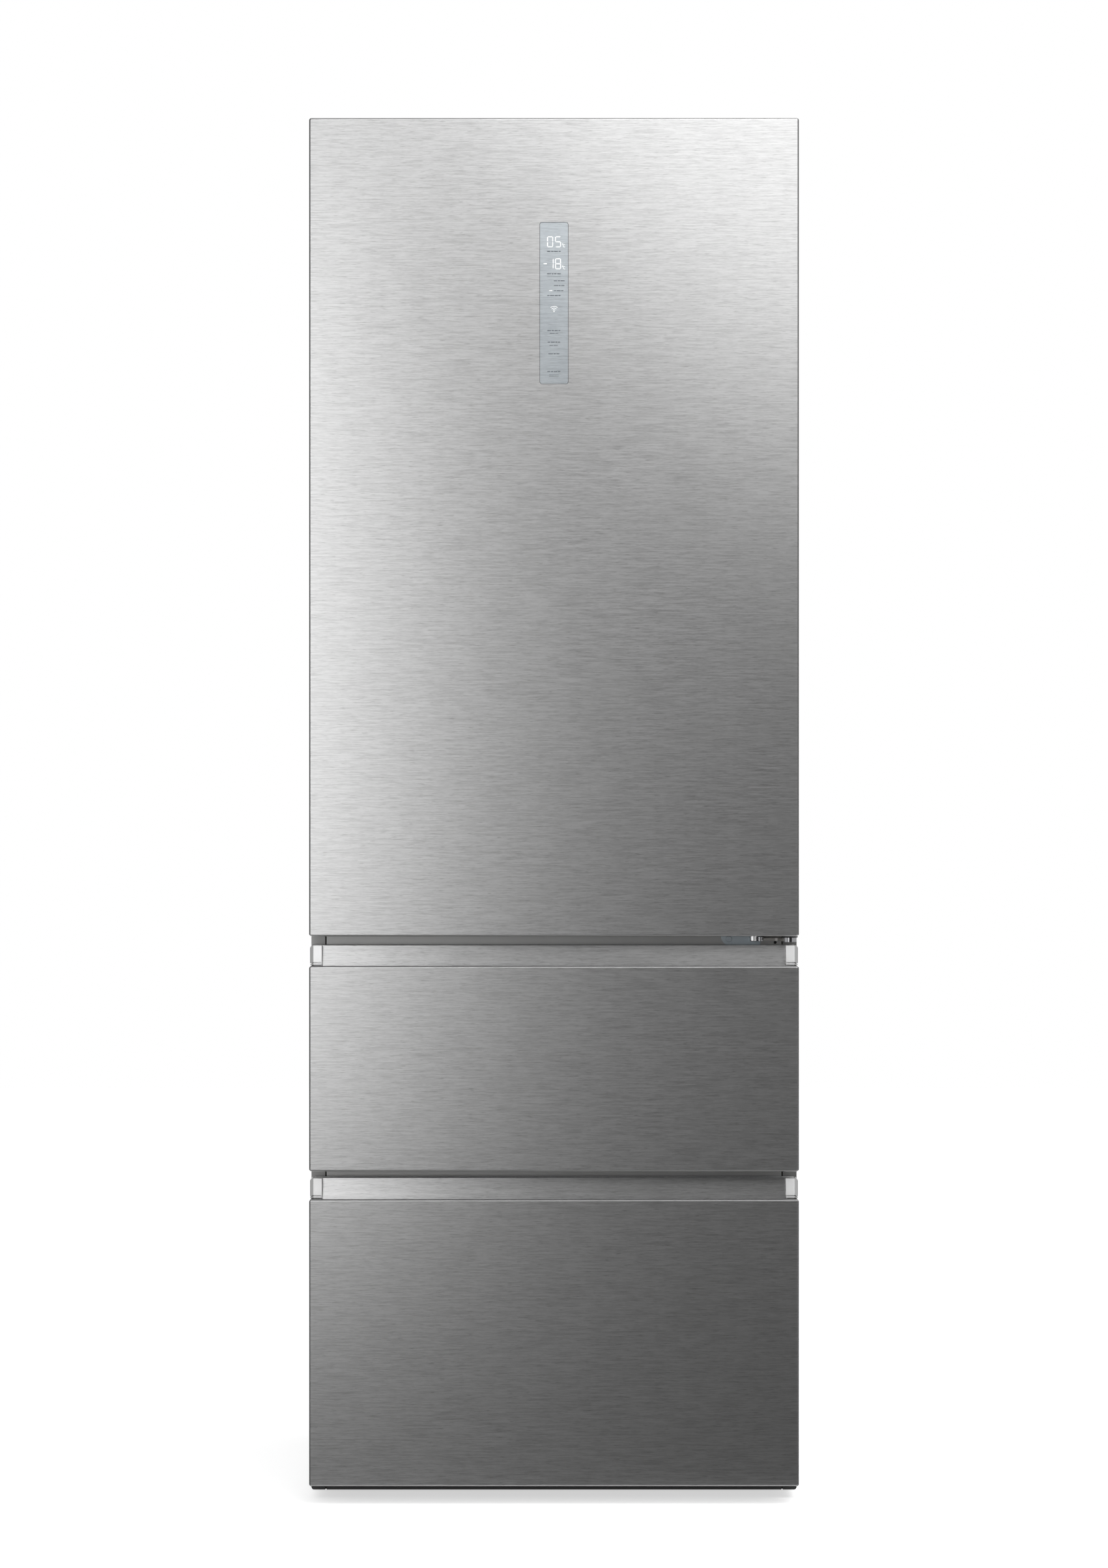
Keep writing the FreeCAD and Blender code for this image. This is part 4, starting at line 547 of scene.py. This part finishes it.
# places on the display in mm: left edge and foot of numerals and degree marks; left edge, level,
# lengths and height of rows of dashes
markLook = {
    "numerals": [("0", -9.3, 1796.6), ("5", 2.0, 1796.6), ("1", -8.6, 1765.2), ("8", 2.0, 1765.2)],
    "degrees": [(11.8, 1795.0), (11.8, 1763.6)],
    "litRows": [(-15.1, 1772.6, (4.8,), 1.4), (-7.2, 1734.0, (4.8,), 1.2)],
    "signal": {"centre": (0, 1704.2), "radii": (2.6, 5.0, 7.4), "turn": (48, 132), "stroke": 0.72},
    "signalDot": {"centre": (0, 1704.4), "radius": 0.5, "turn": (0, 340), "stroke": 0.95},
    "darkRows": [
        (-9.6, 1790.1, (4.6, 3.4, 5.6, 2.8), 1.5), (-9.8, 1758.2, (5.4, 2.6, 3.8, 5.0), 1.5),
        (-9.8, 1754.0, (19.4,), 0.4),
        (0.0, 1748.2, (4.4, 3.2, 5.8), 1.2), (0.0, 1741.4, (6.0, 2.6, 4.4), 1.2),
        (0.0, 1734.0, (3.4, 5.2, 3.0), 1.2), (-9.6, 1727.2, (3.2, 5.8, 4.2, 3.0), 1.5),
        (-9.4, 1677.0, (5.0, 3.6, 4.4, 2.6), 1.3), (-6.0, 1673.1, (7.0, 4.0), 0.9),
        (-9.0, 1660.5, (3.8, 5.4, 2.8, 3.0), 1.3), (-6.4, 1656.0, (5.0, 6.0), 0.9),
        (-8.0, 1643.9, (6.4, 3.2, 4.4), 1.3), (-9.6, 1618.5, (4.4, 3.0, 5.2, 3.4), 1.3),
        (-7.0, 1613.9, (13.6,), 0.5), (-7.0, 1611.7, (13.6,), 0.5)],
}
signal, dot = markLook["signal"], markLook["signalDot"]
whiteMarks = [bar for place in markLook["numerals"] for bar in numeral(*place)]
whiteMarks += [ring for place in markLook["degrees"] for ring in degreeMark(*place)]
whiteMarks += [dash for row in markLook["litRows"] for dash in dashes(*row)]
whiteMarks += [stroke(arc(signal["centre"], radius, signal["turn"]), signal["stroke"])
               for radius in signal["radii"]]
whiteMarks.append(stroke(arc(dot["centre"], dot["radius"], dot["turn"]), dot["stroke"]))
darkMarks = [dash for row in markLook["darkRows"] for dash in dashes(*row)]
# screen-printed inks on the window: white lit from behind, and dark grey
whiteInk = coatedSurface("litWhitePrint", printLook["white"])
darkInk = coatedSurface("darkGreyPrint", printLook["dark"])
addPiece("displayNumerals", whiteMarks, whiteInk, "door")
addPiece("displayDashes", darkMarks, darkInk, "door")
print("display marks:", len(whiteMarks) + len(darkMarks), "strokes")


rimLook = {
    "round": 2.8, "turnSteps": 9,
    # outward from the window's edge and depth, in mm
    "profile": [(0.02, -336.4), (0.02, -337.2), (0.12, -337.34), (0.34, -337.4), (0.56, -337.34),
                (0.66, -337.2), (0.66, -336.4)],
    "shades": ("#55595D", "#5F6367"), "roughness": (0.4, 0.5), "bump": 0.03, "set": {"IOR": 1.53},
}
# moulded ABS bead in the joint round the window: dark grey, low and softly rounded
low, high = (np.array(corner)[[0, 2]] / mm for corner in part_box("display_window"))
rim = roundedFrame(rimLook["profile"], low, high, rimLook["round"], rimLook["turnSteps"])
addPiece("displayRim", [rim], coatedSurface("darkGreyAbsBead", rimLook), "door")
print("display rim:", len(rim[1]), "faces")


jointLook = {
    "middle": 329.0, "top": 1945.0, "bottom": 13.2, "half": 0.85,   # mm
    "front": -277.2, "back": -276.6, "bulge": 0.3, "profileSteps": 9,
    "shades": ("#0E0E0F", "#151516"), "roughness": (0.6, 0.7), "bump": 0.1, "set": {"IOR": 1.52},
}


# Sealing bead in the groove of the cabinet front: a half-round profile carried up one side,
# across the top and down the other. At a corner the profile's outward offset goes along both x
# and z; each end closes to a point.
def grooveBead(look):
    turn = np.linspace(0, np.pi, look["profileSteps"])
    outward = np.concatenate([look["half"] * np.cos(turn), [-look["half"], look["half"]]])
    depth = np.concatenate([look["front"] + look["bulge"] * (1 - np.sin(turn)), [look["back"]] * 2])
    side = np.array([-1, -1, -1, 1, 1, 1])[:, None]
    spread = np.array([0, 1, 1, 1, 1, 0])[:, None]
    x = side * (look["middle"] + spread * outward)
    z = np.array([look["bottom"]] * 2 + [look["top"]] * 2 + [look["bottom"]] * 2)[:, None]
    z = z + np.array([0, 0, 1, 1, 0, 0])[:, None] * outward
    y = spread * depth + (1 - spread) * depth.mean()
    return np.stack([x, y, z], -1).reshape(-1, 3), gridFaces(*x.shape, False, True)


# butyl sealing bead: black and dull
butyl = coatedSurface("blackButylBead", jointLook)
addPiece("cabinetJoint", [grooveBead(jointLook)], butyl, "cabinet")

plugLook = {
    "x": 319.0, "z": 801.0, "radius": 2.15, "rise": 0.5,   # mm
    "fall": 0.7, "foot": 0.9,   # share of the rise lost at the rim, and of the radius at the foot
    "rings": 7, "turns": 24,
}


# Round plug: a shallow dome whose height falls with the square of the distance from its middle,
# then a foot drawn in to the face
def domedPlug(look, face):
    out = np.linspace(0, 1, look["rings"])
    ring = np.concatenate([out, [look["foot"], 0]])[:, None]
    rise = np.concatenate([look["rise"] * (1 - look["fall"] * out ** 2), [0, 0]])[:, None]
    angle = np.linspace(0, 2 * np.pi, look["turns"], endpoint=False)
    x = look["x"] + look["radius"] * ring * np.cos(angle)
    z = look["z"] + look["radius"] * ring * np.sin(angle)
    y = np.broadcast_to(face - rise, x.shape)
    return np.stack([x, y, z], -1).reshape(-1, 3), gridFaces(*x.shape, False, True)


# the plug of the unused screw hole under the hinge arm
plug = domedPlug(plugLook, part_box("mullion_cover")[0][1] / mm)
addPiece("holePlug", [plug], butyl, "cabinet")
print("joints: bead and plug")


screwLook = {
    "radius": 4.2, "height": 1.9, "recess": 1.1, "fall": 0.4,   # mm, and share lost at the rim
    "arm": (0.75, 2.5), "armPower": 6,   # half width and reach of the cross in mm, and its edge
    "rings": 16, "turns": 48, "twist": 0.7,   # radians from one screw to the next
    "columns": (-336.0, 336.0), "rows": (290.0, 640.0, 1000.0, 1360.0, 1720.0, 1945.0),
    "middle": (-112.0, 112.0), "ribs": 3.0,   # the sheet lies this far under its ribs, mm
    "shades": ("#B4B8BB", "#C2C6C8"), "roughness": (0.2, 0.3), "bump": 0.03, "set": metal,
}


# Cross-head screw: a dome over a disc. Height falls with the square of the distance from the
# middle, less a cross-shaped recess that is the larger of two soft-edged bars; the rim drops to
# the sheet.
def crossHead(look, x, z, face, twist):
    ring = np.concatenate([[0, 1], np.linspace(1, 0, look["rings"])])[:, None]
    angle = np.linspace(0, 2 * np.pi, look["turns"], endpoint=False)
    u = look["radius"] * ring * np.cos(angle)
    v = look["radius"] * ring * np.sin(angle)
    (half, reach), power = look["arm"], look["armPower"]
    bars = [np.exp(-(a / half) ** power - (b / reach) ** power) for a, b in ((u, v), (v, u))]
    dome = look["height"] * (1 - look["fall"] * ring ** 2) - look["recess"] * np.maximum(*bars)
    dome[:2] = 0
    along = x + u * np.cos(twist) - v * np.sin(twist)
    up = z + u * np.sin(twist) + v * np.cos(twist)
    return np.stack([along, face + dome, up], -1).reshape(-1, 3), gridFaces(*u.shape, False, True)


# zinc-plated screws of the rear panel: pale grey, bright
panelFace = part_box("rear_panel")[1][1] / mm - screwLook["ribs"]
spots = [(x, z) for x in screwLook["columns"] for z in screwLook["rows"]]
spots += [(x, screwLook["rows"][-1]) for x in screwLook["middle"]]
heads = [crossHead(screwLook, x, z, panelFace, screwLook["twist"] * i)
         for i, (x, z) in enumerate(spots)]
screwZinc = coatedSurface("zincPlatedScrewSteel", screwLook)
addPiece("rearScrews", heads, screwZinc, "cabinet")
print("screws:", len(heads))


# level camera straight in front: place in metres, lens and sensor in mm
cameraLook = {"place": (0.0, -6.4375, 1.0295), "lens": 98.07, "sensor": 36.0}
scene.view_settings.view_transform = "Standard"
lens = bpy.data.cameras.new("photoCamera")
lens.lens = cameraLook["lens"]
lens.sensor_width = cameraLook["sensor"]
camera = bpy.data.objects.new("photoCamera", lens)
camera.location = cameraLook["place"]
camera.rotation_euler = (np.pi / 2, 0.0, 0.0)
scene.collection.objects.link(camera)
scene.camera = camera
print("camera:", cameraLook["lens"], "mm lens")


# flat card through four corners, for the floor and the flags
def card(name, corners, material):
    mesh = bpy.data.meshes.new(name)
    mesh.from_pydata(corners, [], [(0, 1, 2, 3)])
    mesh.materials.append(material)
    piece = bpy.data.objects.new(name, mesh)
    scene.collection.objects.link(piece)
    return piece


# lengths in metres
studioLook = {
    "ambient": 0.5, "floorReach": 8.0, "floorGlow": 0.6, "floorShade": "#F2F2F2",
    "flagGlow": 0.076, "roofGlow": 0.45,   # what light the dark cloth and the grey roof send back
    "flagSide": 3.2, "flagFront": -7.5, "flagBack": 1.6, "flagTop": 4.4, "flagLift": 0.003,
    "sideEnd": -4.6, "floorSide": 0.6,   # past these the room is bright for the other views
    # painted shadow: the dark card under the object stands in for the shade on the floor beneath
    # it, in reflections
    "objectFront": -0.345, "objectSide": 0.36,   # the card under the object
    "floorNear": -0.375,   # the floor flag ends here, so that lower edges see the pale floor
}


# 1 where a ray from the camera, a mirror or glass meets the surface, 0 for light on the object
def seenRay(tree):
    path = addNode(tree, "LightPath").outputs
    seen = addNode(tree, "Math", {0: path["Is Camera Ray"], 1: path["Is Glossy Ray"]},
                   operation="MAXIMUM").outputs[0]
    return addNode(tree, "Math", {0: seen, 1: path["Is Transmission Ray"]},
                   operation="MAXIMUM").outputs[0]


# white for camera, mirror and glass, and a softer level for the light on the object
world = bpy.data.worlds.new("studioWorld")
scene.world = world
world.use_nodes = True
tree = world.node_tree
tree.nodes.clear()
soft = addNode(tree, "Background", {"Color": whiteLight, "Strength": studioLook["ambient"]})
full = addNode(tree, "Background", {"Color": whiteLight, "Strength": 1.0})
mixed = addNode(tree, "MixShader", {0: seenRay(tree), 1: soft.outputs[0], 2: full.outputs[0]})
addNode(tree, "OutputWorld", {"Surface": mixed.outputs[0]})

# painted floor: pale and matt, keeps the shadow
paleFloor, tree = startMaterial("paleStudioFloor")
level = addNode(tree, "Math", {0: seenRay(tree), 1: studioLook["floorGlow"]}, operation="MULTIPLY")
glow = addNode(tree, "Emission", {"Color": whiteLight, "Strength": level.outputs[0]})
matt = addNode(tree, "BsdfDiffuse", {"Color": shade(studioLook["floorShade"])})
both = addNode(tree, "AddShader", {0: matt.outputs[0], 1: glow.outputs[0]})
addNode(tree, "OutputMaterial", {"Surface": both.outputs[0]})
reach = studioLook["floorReach"]
card("studioFloor", [(-reach, -reach, 0), (reach, -reach, 0), (reach, reach, 0),
                     (-reach, reach, 0)], paleFloor)

# dark flags round the front and a grey roof, as beside polished metal in a studio; only
# reflections see them
cloths = {}
for name, strength in (("darkFlagCloth", "flagGlow"), ("greyRoofCloth", "roofGlow")):
    cloths[name], tree = startMaterial(name)
    dim = addNode(tree, "Emission", {"Color": whiteLight, "Strength": studioLook[strength]})
    addNode(tree, "OutputMaterial", {"Surface": dim.outputs[0]})
side, front, back = studioLook["flagSide"], studioLook["flagFront"], studioLook["flagBack"]
top, lift, sideEnd = studioLook["flagTop"], studioLook["flagLift"], studioLook["sideEnd"]
near, inside = studioLook["objectFront"], studioLook["objectSide"]
ahead, narrow = studioLook["floorNear"], studioLook["floorSide"]
flags = {
    "flagFront": [(-side, front, 0), (side, front, 0), (side, front, top), (-side, front, top)],
    "flagLeft": [(-side, front, 0), (-side, sideEnd, 0), (-side, sideEnd, top),
                 (-side, front, top)],
    "flagRight": [(side, front, 0), (side, sideEnd, 0), (side, sideEnd, top), (side, front, top)],
    "flagFloor": [(-side, front, lift), (side, front, lift), (narrow, ahead, lift),
                  (-narrow, ahead, lift)],
    # painted shadow: a dark card under the object, seen only in reflections, for the shade that the
    # glowing floor lacks there
    "underShadowCard": [(-inside, near, lift), (inside, near, lift), (inside, -near, lift),
                  (-inside, -near, lift)],
    "flagRoof": [(-side, front, top), (side, front, top), (side, back, top), (-side, back, top)],
}
for name, corners in flags.items():
    flag = card(name, corners, cloths["greyRoofCloth" if name == "flagRoof" else "darkFlagCloth"])
    for kind in ("camera", "diffuse", "transmission", "volume_scatter", "shadow"):
        setattr(flag, "visible_" + kind, False)

# place, target, width and height in metres, power in watts
softboxes = {
    "leftSoftbox": {"place": (-1.02, -3.92, 1.44), "target": (0.0, -0.34, 1.44),
                    "size": (1.18, 2.60), "power": 23.8},
    "overheadSoftbox": {"place": (1.08, -1.20, 2.32), "target": (0.324, -0.34, 0.6),
                        "size": (3.2, 1.8), "power": 31.8},
}
for name, look in softboxes.items():
    lamp = bpy.data.lights.new(name, "AREA")
    lamp.shape = "RECTANGLE"
    lamp.size, lamp.size_y = look["size"]
    lamp.energy = look["power"]
    box = bpy.data.objects.new(name, lamp)
    box.location = look["place"]
    aim = Vector(look["target"]) - Vector(look["place"])
    box.rotation_euler = aim.to_track_quat("-Z", "Y").to_euler()
    box.visible_camera = False
    scene.collection.objects.link(box)
print("studio:", len(softboxes), "softboxes,", len(flags), "flags")
